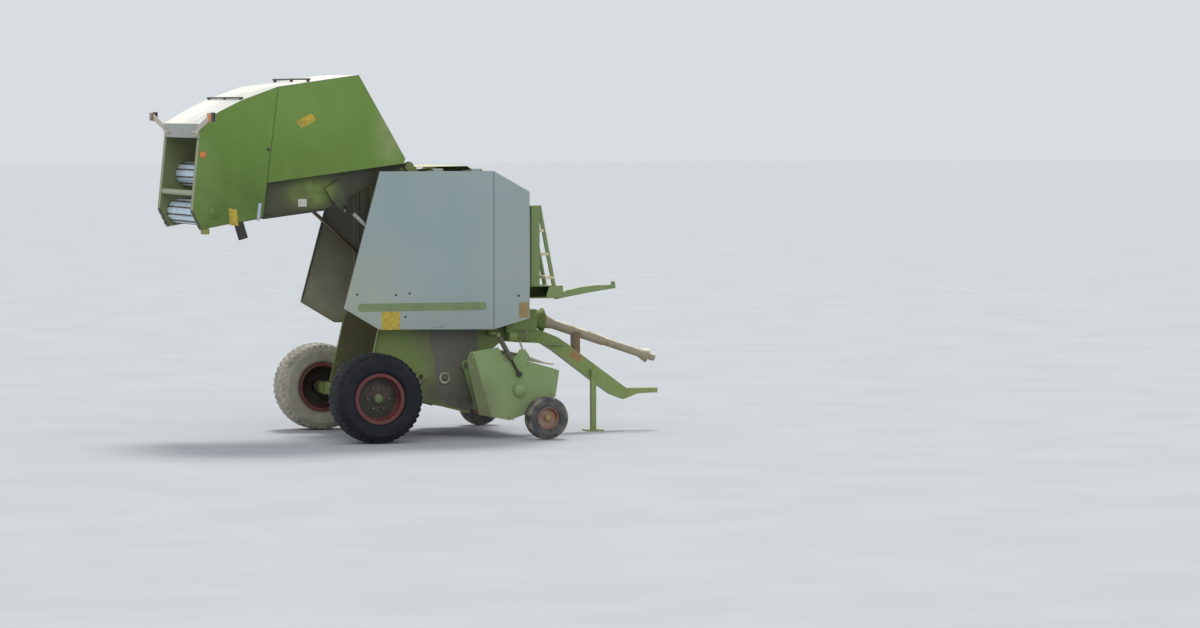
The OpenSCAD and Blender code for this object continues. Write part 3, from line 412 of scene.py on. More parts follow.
    @classmethod
    def copies(cls, name: str, pattern: Object, places: Iterable[Matrix]) -> Object:
        """Copies a pattern to each place, each copy with its own mesh, and joins them.

        Args:
            name: Name of the joined piece.
            pattern: The piece to copy, which is used up.
            places: Where each copy goes.

        Returns:
            The joined piece.
        """
        made = []
        for place in places:
            twin = pattern.copy()
            twin.data = pattern.data.copy()
            twin.data.transform(place)
            if place.determinant() < 0:
                twin.data.flip_normals()
            bpy.context.scene.collection.objects.link(twin)
            made.append(twin)
        bpy.data.objects.remove(pattern)
        return cls.join(name, made)


def aimed(place: Place, along: Place, roll: float = 0.0) -> Matrix:
    """Matrix that stands a piece modelled along +Z at a place, along a direction and rolled about it."""
    turn = Vector(along).to_track_quat("Z", "Y").to_matrix().to_4x4()
    return Matrix.Translation(place) @ turn @ Matrix.Rotation(roll, 4, "Z")


@dataclass(frozen=True)
class Noise:
    """Cloudy noise: clouds to the metre, octaves, weight of the finer ones, stretch and start."""

    scale: float
    detail: float = 4.0
    rough: float = 0.55
    stretch: Place = (1, 1, 1)
    shift: Place = (0, 0, 0)


@dataclass(frozen=True)
class Relief:
    """Bumps of a surface: their depth, the share of them that shows and the radius of softened edges."""

    depth: float
    strength: float
    soften: float = 0.0


class Brush:
    """A material's node tree, in the few strokes that the finishes are painted with."""

    BEVEL_SAMPLES = 4

    def __init__(self, name: str) -> None:
        """Starts an empty material.

        Args:
            name: The material's name.
        """
        self.material = bpy.data.materials.new(name)
        self.material.use_nodes = True
        self.tree = self.material.node_tree
        self.tree.nodes.clear()
        coords = self.node("ShaderNodeTexCoord")
        self.place = coords.outputs["Object"]
        self.facing = coords.outputs["Normal"]

    def node(self, kind: str, **settings: object) -> bpy.types.Node:
        """Adds a node.

        Args:
            kind: Its type's name.
            **settings: Properties of the node and their values.

        Returns:
            The node.
        """
        made = self.tree.nodes.new(kind)
        for key, value in settings.items():
            setattr(made, key, value)
        return made

    def feed(self, socket: NodeSocket, value: Value | Sequence[float]) -> None:
        """Links a socket or sets its value.

        Args:
            socket: The input.
            value: What feeds it.
        """
        if isinstance(value, NodeSocket):
            self.tree.links.new(value, socket)
        else:
            socket.default_value = value

    def shifted(self, shift: Place, stretch: Place) -> NodeSocket:
        """The place on the piece, stretched and then moved.

        Args:
            shift: How far it is moved.
            stretch: How far each axis is stretched.

        Returns:
            The place.
        """
        mapping = self.node("ShaderNodeMapping")
        self.feed(mapping.inputs["Vector"], self.place)
        mapping.inputs["Location"].default_value = shift
        mapping.inputs["Scale"].default_value = stretch
        return mapping.outputs["Vector"]

    def noise(self, noise: Noise) -> NodeSocket:
        """Lays cloudy noise over the piece.

        Args:
            noise: The noise's measures.

        Returns:
            A share from 0 to 1.
        """
        cloud = self.node("ShaderNodeTexNoise")
        self.feed(cloud.inputs["Vector"], self.shifted(noise.shift, noise.stretch))
        cloud.inputs["Scale"].default_value = noise.scale
        cloud.inputs["Detail"].default_value = noise.detail
        cloud.inputs["Roughness"].default_value = noise.rough
        return cloud.outputs["Fac"]

    def window(self, value: Value, low: float, high: float, start: float = 0.0,
               end: float = 1.0) -> NodeSocket:
        """Maps a value between two limits smoothly to a range, and clamps it.

        Args:
            value: The value.
            low: Limit that gives the start.
            high: Limit that gives the end, which may be the smaller one.
            start: Result at the low limit.
            end: Result at the high limit.

        Returns:
            The result.
        """
        ramp = self.node("ShaderNodeMapRange", interpolation_type="SMOOTHSTEP")
        self.feed(ramp.inputs["Value"], value)
        for name, number in (("From Min", low), ("From Max", high), ("To Min", start), ("To Max", end)):
            ramp.inputs[name].default_value = number
        return ramp.outputs["Result"]

    def sum_up(self, operation: str, first: Value, second: Value) -> NodeSocket:
        """A clamped product, maximum or other operation of two values.

        Args:
            operation: The operation, in the Math node's words.
            first: Its first value.
            second: Its second value.

        Returns:
            The result, from 0 to 1.
        """
        node = self.node("ShaderNodeMath", operation=operation, use_clamp=True)
        self.feed(node.inputs[0], first)
        self.feed(node.inputs[1], second)
        return node.outputs[0]

    def times(self, first: Value, second: Value) -> NodeSocket:
        """Product of two values."""
        return self.sum_up("MULTIPLY", first, second)

    def most(self, first: Value, second: Value) -> NodeSocket:
        """The larger of two values."""
        return self.sum_up("MAXIMUM", first, second)

    def coat(self, share: Value, under: NodeSocket | Rgb, over: NodeSocket | Rgb) -> NodeSocket:
        """Lays one colour over another.

        Args:
            share: How much of the upper colour shows, from 0 to 1.
            under: The lower colour.
            over: The upper colour.

        Returns:
            The mixed colour.
        """
        mix = self.node("ShaderNodeMix", data_type="RGBA")
        self.feed(mix.inputs[0], share)
        for socket, colour in ((mix.inputs[6], under), (mix.inputs[7], over)):
            self.feed(socket, colour if isinstance(colour, NodeSocket) else linear(colour))
        return mix.outputs[2]

    def part_of(self, vector: NodeSocket, axis: str) -> NodeSocket:
        """One component of a vector.

        Args:
            vector: The vector.
            axis: X, Y or Z.

        Returns:
            The component.
        """
        split = self.node("ShaderNodeSeparateXYZ")
        self.feed(split.inputs[0], vector)
        return split.outputs[axis]

    def reach_from(self, centre: Place, stretch: Place = (1, 1, 1)) -> NodeSocket:
        """Distance from a centre.

        Args:
            centre: The centre, in the frame.
            stretch: How far each axis is stretched before the distance is taken.

        Returns:
            The distance in metres.
        """
        gap = self.node("ShaderNodeVectorMath", operation="LENGTH")
        shift = tuple(-c * s for c, s in zip(centre, stretch))
        self.feed(gap.inputs[0], self.shifted(shift, stretch))
        return gap.outputs["Value"]

    def inward(self) -> NodeSocket:
        """How much a side face looks at the machine's middle plane.

        Returns:
            A share from 0 to 1.
        """
        product = self.node("ShaderNodeMath", operation="MULTIPLY")
        self.feed(product.inputs[0], self.part_of(self.place, "Y"))
        self.feed(product.inputs[1], self.part_of(self.facing, "Y"))
        return self.window(product.outputs[0], -0.25, -0.55)

    def edges(self, radius: float) -> NodeSocket:
        """How near a point is to a sharp edge.

        Args:
            radius: Distance from the edge at which the share starts to rise.

        Returns:
            A share from 0 to 1.
        """
        soft = self.node("ShaderNodeBevel", samples=self.BEVEL_SAMPLES)
        soft.inputs["Radius"].default_value = radius
        true = self.node("ShaderNodeNewGeometry")
        dot = self.node("ShaderNodeVectorMath", operation="DOT_PRODUCT")
        self.feed(dot.inputs[0], soft.outputs[0])
        self.feed(dot.inputs[1], true.outputs["Normal"])
        return self.window(dot.outputs["Value"], 0.985, 0.80)

    def relief(self, height: Value, relief: Relief) -> NodeSocket:
        """Raises the surface by a height.

        Args:
            height: The height, from 0 to 1.
            relief: The relief's measures.

        Returns:
            The surface's normal.
        """
        bump = self.node("ShaderNodeBump")
        bump.inputs["Strength"].default_value = relief.strength
        bump.inputs["Distance"].default_value = relief.depth
        self.feed(bump.inputs["Height"], height)
        if relief.soften:
            soft = self.node("ShaderNodeBevel", samples=self.BEVEL_SAMPLES)
            soft.inputs["Radius"].default_value = relief.soften
            self.feed(bump.inputs["Normal"], soft.outputs[0])
        return bump.outputs[0]

    def shader(self, **inputs: Value | Sequence[float]) -> Material:
        """Ends the tree with a principled shader.

        Args:
            **inputs: Values of the shader's inputs, named with underscores for spaces.

        Returns:
            The material.
        """
        body = self.node("ShaderNodeBsdfPrincipled")
        for name, value in inputs.items():
            self.feed(body.inputs[name.replace("_", " ")], value)
        end = self.node("ShaderNodeOutputMaterial")
        self.tree.links.new(body.outputs[0], end.inputs["Surface"])
        return self.material


@dataclass(frozen=True)
class StainAndShade:
    """A patch of another tone, its centre ahead of the axle, to the left and above the ground: used for
    stains and faded spots, and on some walls for painted shade and painted shadows.
    """

    centre: Place
    reach: float
    colour: Rgb
    strength: float
    stretch: Place = (1, 1, 1)


@dataclass(frozen=True)
class Paint:
    """Sprayed paint with fading, dust, chips on its edges, specks, streaks and stains; some finishes also
    carry painted shade on inner faces and in patches, and painted light on upward faces.
    """

    name: str
    slot: Slot
    colour: Rgb
    faded: Rgb
    dust: Rgb = (150, 140, 108)
    chip: Rgb = (96, 72, 52)
    # Share of the dust colour on upward faces: dust, and on the skin and steps painted light of the lit tops.
    top_dust_and_light: float = 0.45
    film: float = 0.12
    ground: float = 0.35
    ground_top: float = 0.9
    wear: float = 0.35
    streaks: float = 0.15
    gloss: float = 0.42
    matt: float = 0.88
    clouds: Noise = Noise(1.3, 4.0, 0.5)
    mottle: Noise = Noise(34.0, 4.0, 0.6)
    flakes: Noise = Noise(22.0, 5.0, 0.65)
    specks: Noise = Noise(95.0, 2.0, 0.5)
    rain: Noise = Noise(1.0, 3.0, 0.6, (26.0, 26.0, 1.3))
    grain: Noise = Noise(240.0, 2.0)
    relief: Relief = Relief(0.0004, 0.35, 0.003)
    chip_reach: float = 0.006
    patch_core: float = 0.15
    patch_clouds: float = 3.2
    # Colour laid on faces that look at the machine's middle plane; on the doors it is dirt and painted shade
    # of their inner faces.
    inside: Rgb | None = None
    stains_and_shade: tuple[StainAndShade, ...] = ()

    def material(self) -> Material:
        """Paints the material.

        Returns:
            The material.
        """
        brush = Brush(self.name)
        clouds = brush.noise(self.clouds)
        mottle = brush.noise(self.mottle)
        colour = brush.coat(brush.window(clouds, 0.25, 0.75), self.colour, self.faded)
        colour = self.streaked(brush, colour)
        # Faces that look at the middle plane take the inside colour; on the doors this is dirt and painted
        # shade.
        if self.inside:
            grime = brush.window(clouds, 0.3, 0.7, 0.80, 1.0)
            colour = brush.coat(brush.times(brush.inward(), grime), colour, self.inside)
        # Patches of another tone: stains and faded spots, and on some walls painted shade and painted
        # shadows.
        for stain_and_shade in self.stains_and_shade:
            x, y, z = stain_and_shade.centre
            far = brush.reach_from((AXLE.x + x, y, z), stain_and_shade.stretch)
            patch = brush.window(far, stain_and_shade.reach, stain_and_shade.reach * self.patch_core, 0.0, stain_and_shade.strength)
            broken = brush.window(brush.noise(Noise(self.patch_clouds / stain_and_shade.reach)), 0.25, 0.70, 0.45, 1.0)
            colour = brush.coat(brush.times(patch, broken), colour, stain_and_shade.colour)
        flaked = brush.window(brush.noise(self.flakes), 0.46, 0.60, 0.0, self.wear)
        chips = brush.times(brush.edges(self.chip_reach), flaked)
        specks = brush.window(brush.noise(self.specks), 0.70, 0.74, 0.0, self.wear * 0.8)
        colour = brush.coat(brush.most(chips, specks), colour, self.chip)
        # Dust, and on the skin and steps the painted light of their lit tops.
        dust = self.dusty(brush, clouds, mottle)
        colour = brush.coat(dust, colour, self.dust)
        rough = brush.window(dust, 0.0, 0.8, self.gloss, self.matt)
        grain = brush.relief(brush.noise(self.grain), self.relief)
        return brush.shader(Base_Color=colour, Roughness=rough, Normal=grain, Specular_IOR_Level=0.45)

    def streaked(self, brush: Brush, colour: NodeSocket) -> NodeSocket:
        """Adds thin marks that rain drew down the sides."""
        runs = brush.window(brush.noise(self.rain), 0.50, 0.74, 0.0, self.streaks)
        return brush.coat(runs, colour, self.dust)

    def dusty(self, brush: Brush, clouds: NodeSocket, mottle: NodeSocket) -> NodeSocket:
        """Dust on faces that look up, low down near the ground, and as a thin film all over; on the skin and
        the steps the colour on upward faces is painted light of the lit tops.

        Args:
            brush: The material's brush.
            clouds: Coarse noise, which breaks up the lying dust.
            mottle: Fine noise, which breaks up the film.

        Returns:
            Share of dust, and of painted top light on the skin and steps, from 0 to 1.
        """
        up = brush.window(brush.part_of(brush.facing, "Z"), 0.25, 0.95, 0.0, self.top_dust_and_light)
        low = brush.window(brush.part_of(brush.place, "Z"), self.ground_top, 0.15, 0.0, self.ground)
        lying = brush.times(brush.most(up, low), brush.window(clouds, 0.15, 0.62, 0.35, 1.0))
        veil = brush.window(mottle, 0.25, 0.8, self.film * 0.4, self.film)
        return brush.most(lying, veil)


@dataclass(frozen=True)
class Steel:
    """Bare steel: rubbed bright along its turning, with brown film in its hollows; the upper rollers' bright
    bluish tone is a painted sky reflection and highlight.
    """

    name: str
    slot: Slot
    bright: Rgb
    dull: Rgb
    grime: Rgb = (104, 88, 66)
    grime_share: float = 0.35
    rough: float = 0.30
    lines: Noise = Noise(1.0, 4.0, 0.6, (2.0, 60.0, 2.0))
    clouds: Noise = Noise(4.5, 5.0, 0.6)
    relief: Relief = Relief(0.0005, 0.3, 0.002)
    dust: float = 0.25
    metal: float = 0.9
    settled: Rgb = (160, 148, 118)
    dark_end: Spot | None = None
    dark: Rgb = (58, 58, 50)
    dark_reach: float = 0.055
    dark_fade: float = 0.075

    def material(self) -> Material:
        """Paints the material.

        Returns:
            The material.
        """
        brush = Brush(self.name)
        lines = brush.noise(self.lines)
        clouds = brush.noise(self.clouds)
        colour = brush.coat(brush.window(lines, 0.35, 0.65), self.bright, self.dull)
        film = brush.window(clouds, 0.42, 0.72, 0.0, self.grime_share)
        colour = brush.coat(film, colour, self.grime)
        if self.dark_end:
            far = brush.reach_from((self.dark_end[0], 0, self.dark_end[1]), (1, 0, 1))
            colour = brush.coat(brush.window(far, self.dark_fade, self.dark_reach), colour, self.dark)
        up = brush.window(brush.part_of(brush.facing, "Z"), 0.55, 1.0, 0.0, self.dust)
        colour = brush.coat(brush.times(up, brush.window(clouds, 0.3, 0.6)), colour, self.settled)
        uneven = brush.most(film, brush.times(lines, 0.35))
        rough = brush.window(uneven, 0.0, 0.6, self.rough, self.rough + 0.35)
        return brush.shader(Base_Color=colour, Roughness=rough, Metallic=self.metal,
                            Normal=brush.relief(lines, self.relief))


@dataclass(frozen=True)
class Rubber:
    """Rubber, with dust held in its tread and a scuffed lighter bloom."""

    name: str
    slot: Slot
    colour: Rgb
    bloom: Rgb
    dust: Rgb
    axis: Spot
    tread_r: float
    dust_share: float = 0.45
    tread_depth: float = 0.02
    clouds: Noise = Noise(7.0, 5.0, 0.62)
    lying: Noise = Noise(11.0, 5.0, 0.65, shift=(3, 1, 2))
    grain: Noise = Noise(160.0, 3.0)
    relief: Relief = Relief(0.0006, 0.5)

    def material(self) -> Material:
        """Paints the material.

        Returns:
            The material.
        """
        brush = Brush(self.name)
        clouds = brush.noise(self.clouds)
        colour = brush.coat(brush.window(clouds, 0.35, 0.7, 0.0, 0.7), self.colour, self.bloom)
        out = brush.reach_from((self.axis[0], 0, self.axis[1]), (1, 0, 1))
        worn = brush.window(out, self.tread_r - self.tread_depth, self.tread_r, 0.35, 1.0)
        held = brush.times(worn, brush.window(brush.noise(self.lying), 0.36, 0.62))
        dust = brush.times(held, self.dust_share)
        colour = brush.coat(dust, colour, self.dust)
        rough = brush.window(clouds, 0.2, 0.8, 0.62, 0.9)
        return brush.shader(Base_Color=colour, Roughness=rough, Specular_IOR_Level=0.35,
                            Normal=brush.relief(brush.noise(self.grain), self.relief))


@dataclass(frozen=True)
class Ringed:
    """Wheel paint whose middle is dirtier than its flange."""

    name: str
    slot: Slot
    flange: Rgb
    disc: Rgb
    axis: Spot
    disc_r: float
    dust: Rgb = (128, 112, 92)
    chip: Rgb = (120, 104, 92)
    chip_reach: float = 0.005
    clouds: Noise = Noise(9.0, 5.0, 0.62)
    flakes: Noise = Noise(26.0)
    grain: Noise = Noise(120.0, 3.0)
    relief: Relief = Relief(0.0005, 0.4, 0.003)

    def material(self) -> Material:
        """Paints the material.

        Returns:
            The material.
        """
        brush = Brush(self.name)
        clouds = brush.noise(self.clouds)
        out = brush.reach_from((self.axis[0], 0, self.axis[1]), (1, 0, 1))
        ring = brush.window(out, self.disc_r * 0.86, self.disc_r)
        colour = brush.coat(ring, self.disc, self.flange)
        colour = brush.coat(brush.window(clouds, 0.42, 0.7, 0.0, 0.55), colour, self.dust)
        flaked = brush.window(brush.noise(self.flakes), 0.45, 0.6, 0.0, 0.6)
        chips = brush.times(brush.edges(self.chip_reach), flaked)
        colour = brush.coat(chips, colour, self.chip)
        return brush.shader(Base_Color=colour, Roughness=brush.window(clouds, 0.2, 0.8, 0.45, 0.8),
                            Normal=brush.relief(brush.noise(self.grain), self.relief))


@dataclass(frozen=True)
class Plastic:
    """Moulded plastic or printed film with a dusty veil; on the shaft guard the pale upward faces are a
    painted highlight.
    """

    name: str
    slot: Slot
    colour: Rgb
    worn: Rgb
    dust: Rgb = (150, 138, 112)
    dust_share: float = 0.3
    gloss: float = 0.4
    patches: float = 9.0
    octaves: float = 5.0
    patch_rough: float = 0.62
    dust_and_light_from: float = 0.1
    grain: Noise = Noise(190.0, 3.0)
    relief: Relief = Relief(0.0004, 0.4, 0.002)

    def material(self) -> Material:
        """Paints the material.

        Returns:
            The material.
        """
        brush = Brush(self.name)
        clouds = brush.noise(Noise(self.patches, self.octaves, self.patch_rough))
        colour = brush.coat(brush.window(clouds, 0.42, 0.66), self.colour, self.worn)
        # Upward faces take the dust colour: dust, and on the shaft guard a painted highlight.
        up = brush.window(brush.part_of(brush.facing, "Z"), self.dust_and_light_from, 0.95, 0.2, 1.0)
        dust = brush.times(brush.times(up, brush.window(clouds, 0.2, 0.6)), self.dust_share)
        colour = brush.coat(dust, colour, self.dust)
        rough = brush.window(clouds, 0.25, 0.75, self.gloss, self.gloss + 0.25)
        return brush.shader(Base_Color=colour, Roughness=rough,
                            Normal=brush.relief(brush.noise(self.grain), self.relief))


@dataclass(frozen=True)
class Lens:
    """Coloured lamp glass with a moulded prism pattern."""

    name: str
    slot: Slot
    colour: Rgb
    deep: Rgb
    film: Rgb = (150, 130, 104)
    rib: float = 420.0
    clouds: Noise = Noise(30.0)
    film_clouds: Noise = Noise(14.0)
    relief: Relief = Relief(0.0006, 0.5)
    coat: float = 0.6

    def material(self) -> Material:
        """Paints the material.

        Returns:
            The material.
        """
        brush = Brush(self.name)
        ribs = brush.node("ShaderNodeTexWave", bands_direction="Z")
        brush.feed(ribs.inputs["Vector"], brush.place)
        ribs.inputs["Scale"].default_value = self.rib
        clouds = brush.noise(self.clouds)
        colour = brush.coat(brush.window(clouds, 0.3, 0.7), self.colour, self.deep)
        film = brush.window(brush.noise(self.film_clouds), 0.5, 0.75, 0.0, 0.3)
        colour = brush.coat(film, colour, self.film)
        rough = brush.window(clouds, 0.2, 0.8, 0.12, 0.35)
        return brush.shader(Base_Color=colour, Roughness=rough, Coat_Weight=self.coat,
                            Normal=brush.relief(ribs.outputs["Fac"], self.relief))


Finish: TypeAlias = Paint | Steel | Rubber | Ringed | Plastic | Lens


@cache
def painted(finish: Finish) -> Material:
    """The finish's material, mixed once."""
    return finish.material()


def fit(part: Object, finish: Finish, body: str, *stands_for: str) -> Object:
    """Gives a new piece its finish and fastens it to a body.

    Args:
        part: The piece.
        finish: Its finish.
        body: The body it moves with.
        *stands_for: CAD nodes that it is shown in place of.

    Returns:
        The piece.
    """
    part.data.materials.clear()
    part.data.materials.append(painted(finish))
    if stands_for:
        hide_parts(*stands_for)
    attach(part, body)
    log.info("%s rides on %s, %d faces", part.name, body, len(part.data.polygons))
    return part


def dress(finish: Finish, *nodes: str) -> None:
    """Gives CAD nodes a finish.

    Args:
        finish: The finish.
        *nodes: The nodes' names.
    """
    for node in nodes:
        part = frame["nodes"][node]
        part.data.materials.clear()
        part.data.materials.append(painted(finish))
        log.info("%s wears %s", node, finish.name)


AXLE_SPOT = (AXLE.x, AXLE.z)
ROD_END = at(-0.185, 2.205)
GAUGE_SPOT = (middle("gauge_rim_right").x, middle("gauge_rim_right").z)

# Its patches make the cover darker low down and paler high up.
TAIL_GREEN = Paint(
    "tail green", Slot.GREEN, (88, 126, 38), (98, 134, 46), dust=(146, 154, 92), top_dust_and_light=0.6, film=0.12,
    ground=0.0, wear=0.35, streaks=0.12, inside=(88, 84, 58), stains_and_shade=(
        StainAndShade((-1.30, -0.69, 2.10), 1.10, (66, 92, 24), 0.85, (0.6, 0.3, 1.2)),
        StainAndShade((-0.72, -0.69, 3.35), 0.85, (118, 146, 76), 0.45, (0.7, 0.3, 1.3)),
        StainAndShade((-0.35, -0.69, 2.70), 0.55, (84, 108, 40), 0.40, (0.7, 0.3, 1.3)),
        StainAndShade((0.24, -0.69, 2.92), 0.36, (168, 168, 130), 0.38, (1.5, 0.3, 0.7)),
        StainAndShade((-1.62, -0.69, 2.60), 0.30, (112, 138, 76), 0.45, (1.0, 0.3, 0.4))))
# The tailgate's recessed wall: its dark base is painted shade under the cover, and its two dark patches are
# painted shadows of the bearings; the green patch is a lighter tone of the wall.
GATE_WALL_SHADED = Paint(
    "gate wall shaded", Slot.GREEN, (48, 54, 35), (64, 68, 44), dust=(82, 80, 58), film=0.25, ground=0.0, wear=0.5,
    inside=(118, 126, 84), stains_and_shade=(
        StainAndShade((-0.47, -0.61, 2.36), 0.34, (116, 138, 58), 1.0, (0.8, 0.3, 1.5)),
        StainAndShade((-0.20, -0.61, 2.26), 0.20, (44, 46, 38), 0.90, (0.8, 0.1, 1.2)),
        StainAndShade((-0.08, -0.61, 2.42), 0.36, (42, 42, 36), 0.95, (0.9, 0.1, 1.2))))
# Its dark patches round the inlet are darker tones of the wall, and the brown one behind the door's rear edge
# is dirt and painted shade.
WALL_GREEN = Paint(
    "wall green", Slot.GREEN, (96, 124, 50), (116, 136, 70), dust=(128, 116, 84), top_dust_and_light=0.55, film=0.3,
    ground=0.35, ground_top=1.2, streaks=0.3, inside=(92, 86, 64), stains_and_shade=(
        StainAndShade((0.92, -0.62, 0.70), 0.52, (76, 74, 68), 0.95, (1.25, 0.3, 0.7)),
        StainAndShade((0.72, -0.62, 1.02), 0.36, (86, 84, 72), 0.85, (1.0, 0.3, 0.9)),
        StainAndShade((0.70, -0.62, 0.42), 0.30, (52, 54, 48), 0.90, (0.45, 0.3, 1.4)),
        StainAndShade((-0.10, -0.61, 1.80), 0.55, (60, 50, 40), 0.55, (1.0, 0.3, 0.8))))
INNER_GREEN = Paint(
    "inner green", Slot.GREEN, (88, 104, 48), (98, 100, 66), dust=(104, 92, 66), film=0.45, wear=0.5)
# Its brown patch low on the side plate is dirt and a painted shadow.
PICKUP_GREEN = Paint(
    "pickup green", Slot.GREEN, (102, 136, 68), (122, 148, 92), dust=(148, 148, 118), film=0.24,
    ground=0.45, ground_top=0.7, top_dust_and_light=0.6, stains_and_shade=(
        StainAndShade((1.10, -0.93, 0.34), 0.20, (84, 76, 54), 0.70, (1, 0.2, 0.6)),))
# Darker green of the pick-up side plate's fold: painted shade of the plate's rear part.
FOLD_SHADE_GREEN = Paint(
    "fold shade green", Slot.GREEN, (84, 104, 58), (98, 112, 72), dust=(112, 104, 78), film=0.3, ground=0.5,
    ground_top=0.6)
BEAM_GREEN = Paint(
    "beam green", Slot.GREEN, (106, 132, 58), (124, 146, 78), dust=(160, 154, 112), top_dust_and_light=0.7, film=0.25,
    ground=0.25, stains_and_shade=(
        StainAndShade((2.33, -0.07, 0.79), 0.12, (152, 108, 76), 0.7, (1, 0.2, 1)),))
GUARD_PALE = Paint(
    "guard pale", Slot.GREEN, (140, 146, 110), (160, 158, 128), dust=(206, 200, 172), top_dust_and_light=0.8)
# Its pale cream on upward faces is dust and painted light of the lit tops.
STEP_GREEN = Paint(
    "step green", Slot.GREEN, (96, 122, 60), (112, 134, 76), dust=(206, 204, 170), top_dust_and_light=0.9)
# Its inside colour darkens the doors' inner faces: dirt and painted shade.
DOOR_GREY = Paint(
    "door grey", Slot.GREY, (138, 157, 157), (148, 163, 162), dust=(150, 146, 130), chip=(112, 104, 92),
    film=0.08, top_dust_and_light=0.5, ground=0.25, ground_top=1.35, wear=0.20, streaks=0.08, gloss=0.40,
    inside=(118, 109, 95), stains_and_shade=(
        StainAndShade((0.80, -0.79, 1.08), 0.60, (140, 138, 124), 0.40, (0.7, 0.2, 1.7)),
        StainAndShade((1.43, -0.79, 1.60), 0.60, (152, 156, 150), 0.45, (1, 0.2, 0.6)),
        StainAndShade((-0.20, 0.79, 1.30), 0.75, (170, 168, 140), 0.85, (0.8, 0.2, 0.8))))
FRONT_GREY = Paint(
    "front grey", Slot.GREY, (142, 157, 156), (154, 164, 162), dust=(156, 150, 130), top_dust_and_light=0.55, film=0.2)
# The tailgate's white skin: upward faces are painted near white as its lit top and the other faces grey as
# its shaded sides, painted light and shade on one paint.
SKIN_LIT_TOP_WHITE = Paint(
    "skin white lit top", Slot.WHITE, (137, 141, 138), (148, 151, 147), dust=(232, 229, 219), top_dust_and_light=0.98,
    film=0.10, ground=0.0, streaks=0.12)
ARM_WHITE = Paint("arm white", Slot.WHITE, (200, 196, 186), (188, 180, 164), dust=(150, 132, 104), film=0.3)
# Upper rollers: bright bluish steel, a painted sky reflection and highlight; the lower rollers take the
# plainer grey below.
ROLLER_SHEEN = Steel(
    "roller steel sheen", Slot.STEEL, (226, 242, 252), (190, 210, 226), grime_share=0.12, rough=0.36, metal=0.5)
ROLLER_DULL = Steel(
    "roller dull", Slot.STEEL, (114, 128, 130), (92, 105, 108), grime_share=0.35, rough=0.42, metal=0.5)
REEL_STEEL = Steel("reel steel", Slot.STEEL, (126, 118, 108), (96, 86, 76), grime_share=0.6, rough=0.42)
BAND_STEEL = Steel("band steel", Slot.STEEL, (150, 148, 140), (118, 112, 102), grime_share=0.5, rough=0.36)
BOLT_ZINC = Steel("bolt zinc", Slot.STEEL, (176, 174, 160), (140, 134, 118), grime_share=0.4, rough=0.34)
ROD_CHROME = Steel(
    "rod chrome", Slot.CHROME, (196, 196, 190), (170, 170, 164), grime_share=0.30, rough=0.14, dust=0.1,
    dark_end=ROD_END)
ROD_DULL = Steel(
    "rod dull", Slot.CHROME, (132, 122, 102), (112, 102, 84), grime_share=0.4, rough=0.25, dust=0.1,
    dark_end=ROD_END)
CYLINDER_BLACK = Paint(
    "cylinder black", Slot.BLACK, (44, 46, 48), (58, 58, 56), top_dust_and_light=0.6, film=0.25, ground=0.2)
# The shaft guard: brown plastic whose near-white upward faces are a painted highlight.
SHAFT_GUARD_LIT_TOP = Plastic(
    "shaft guard lit top", Slot.GUARD, (134, 120, 94), (116, 104, 80), dust=(236, 230, 208), dust_share=0.95,
    gloss=0.55, dust_and_light_from=0.45)
TUBE_PALE = Paint("tube pale", Slot.GREEN, (166, 178, 150), (148, 160, 128), film=0.3, ground=0.0)
EDGE_PALE = Paint("edge pale", Slot.GREEN, (148, 160, 124), (130, 146, 104), film=0.3, ground=0.0)
CHEEK_BROWN = Paint(
    "cheek brown", Slot.GREEN, (82, 84, 76), (96, 94, 82), dust=(112, 108, 92), film=0.4, ground=0.0,
    wear=0.5, stains_and_shade=(
        StainAndShade((0.84, -0.61, 0.36), 0.34, (52, 55, 50), 0.9, (0.6, 0.3, 1.5)),))
TRIM_BLACK = Paint(
    "trim black", Slot.BLACK, (46, 48, 44), (60, 60, 52), dust=(104, 98, 80), film=0.3, ground=0.0)
LABEL_RED = Plastic("label red", Slot.WHITE, (152, 106, 62), (142, 128, 78), patches=20.0)
BUMP_YELLOW = Paint("bump yellow", Slot.WHITE, (140, 146, 62), (124, 128, 64), film=0.3, ground=0.0)
REST_RED = Paint("rest red", Slot.BRACKET, (104, 74, 46), (96, 78, 50), film=0.3)
TYRE_BLACK = Rubber(
    "tyre black", Slot.TYRE, (13, 17, 25), (22, 27, 36), (70, 69, 64), AXLE_SPOT, 0.405, 0.20)
# The far tyre: dusty rubber made paler still to offset the shade on its inner face, so partly painted light.
TYRE_DUSTY_LIT = Rubber(
    "tyre dusty lit", Slot.TYRE, (136, 132, 120), (164, 158, 143), (188, 182, 166), AXLE_SPOT, 0.405, 0.60)
GAUGE_BLACK = Rubber(
    "gauge black", Slot.TYRE, (52, 54, 58), (82, 86, 88), (156, 146, 126), GAUGE_SPOT, 0.19, 0.55)
RIM_RED = Ringed("rim red", Slot.RIM, (104, 46, 46), (42, 42, 32), AXLE_SPOT, 0.205, dust=(98, 76, 70))
RIM_ORANGE = Ringed(
    "rim orange", Slot.GAUGE_RIM, (150, 94, 74), (154, 122, 102), GAUGE_SPOT, 0.09, dust=(160, 150, 134))
REFLECTOR_ORANGE = Lens("reflector orange", Slot.LAMP, (216, 122, 38), (198, 104, 34))
LENS_DULL = Lens("lens dull", Slot.LAMP, (134, 92, 62), (112, 84, 62))
REFLECTOR_WHITE = Lens("reflector white", Slot.WHITE, (176, 188, 206), (150, 160, 184))
PLATE_YELLOW = Plastic(
    "plate yellow", Slot.WHITE, (186, 162, 46), (160, 138, 52), dust_share=0.2, patches=24.0)
PLATE_ORANGE = Plastic("plate orange", Slot.WHITE, (146, 128, 78), (142, 108, 72), patches=16.0)
LABEL_WHITE = Plastic("label white", Slot.WHITE, (198, 198, 190), (176, 172, 160), patches=18.0)
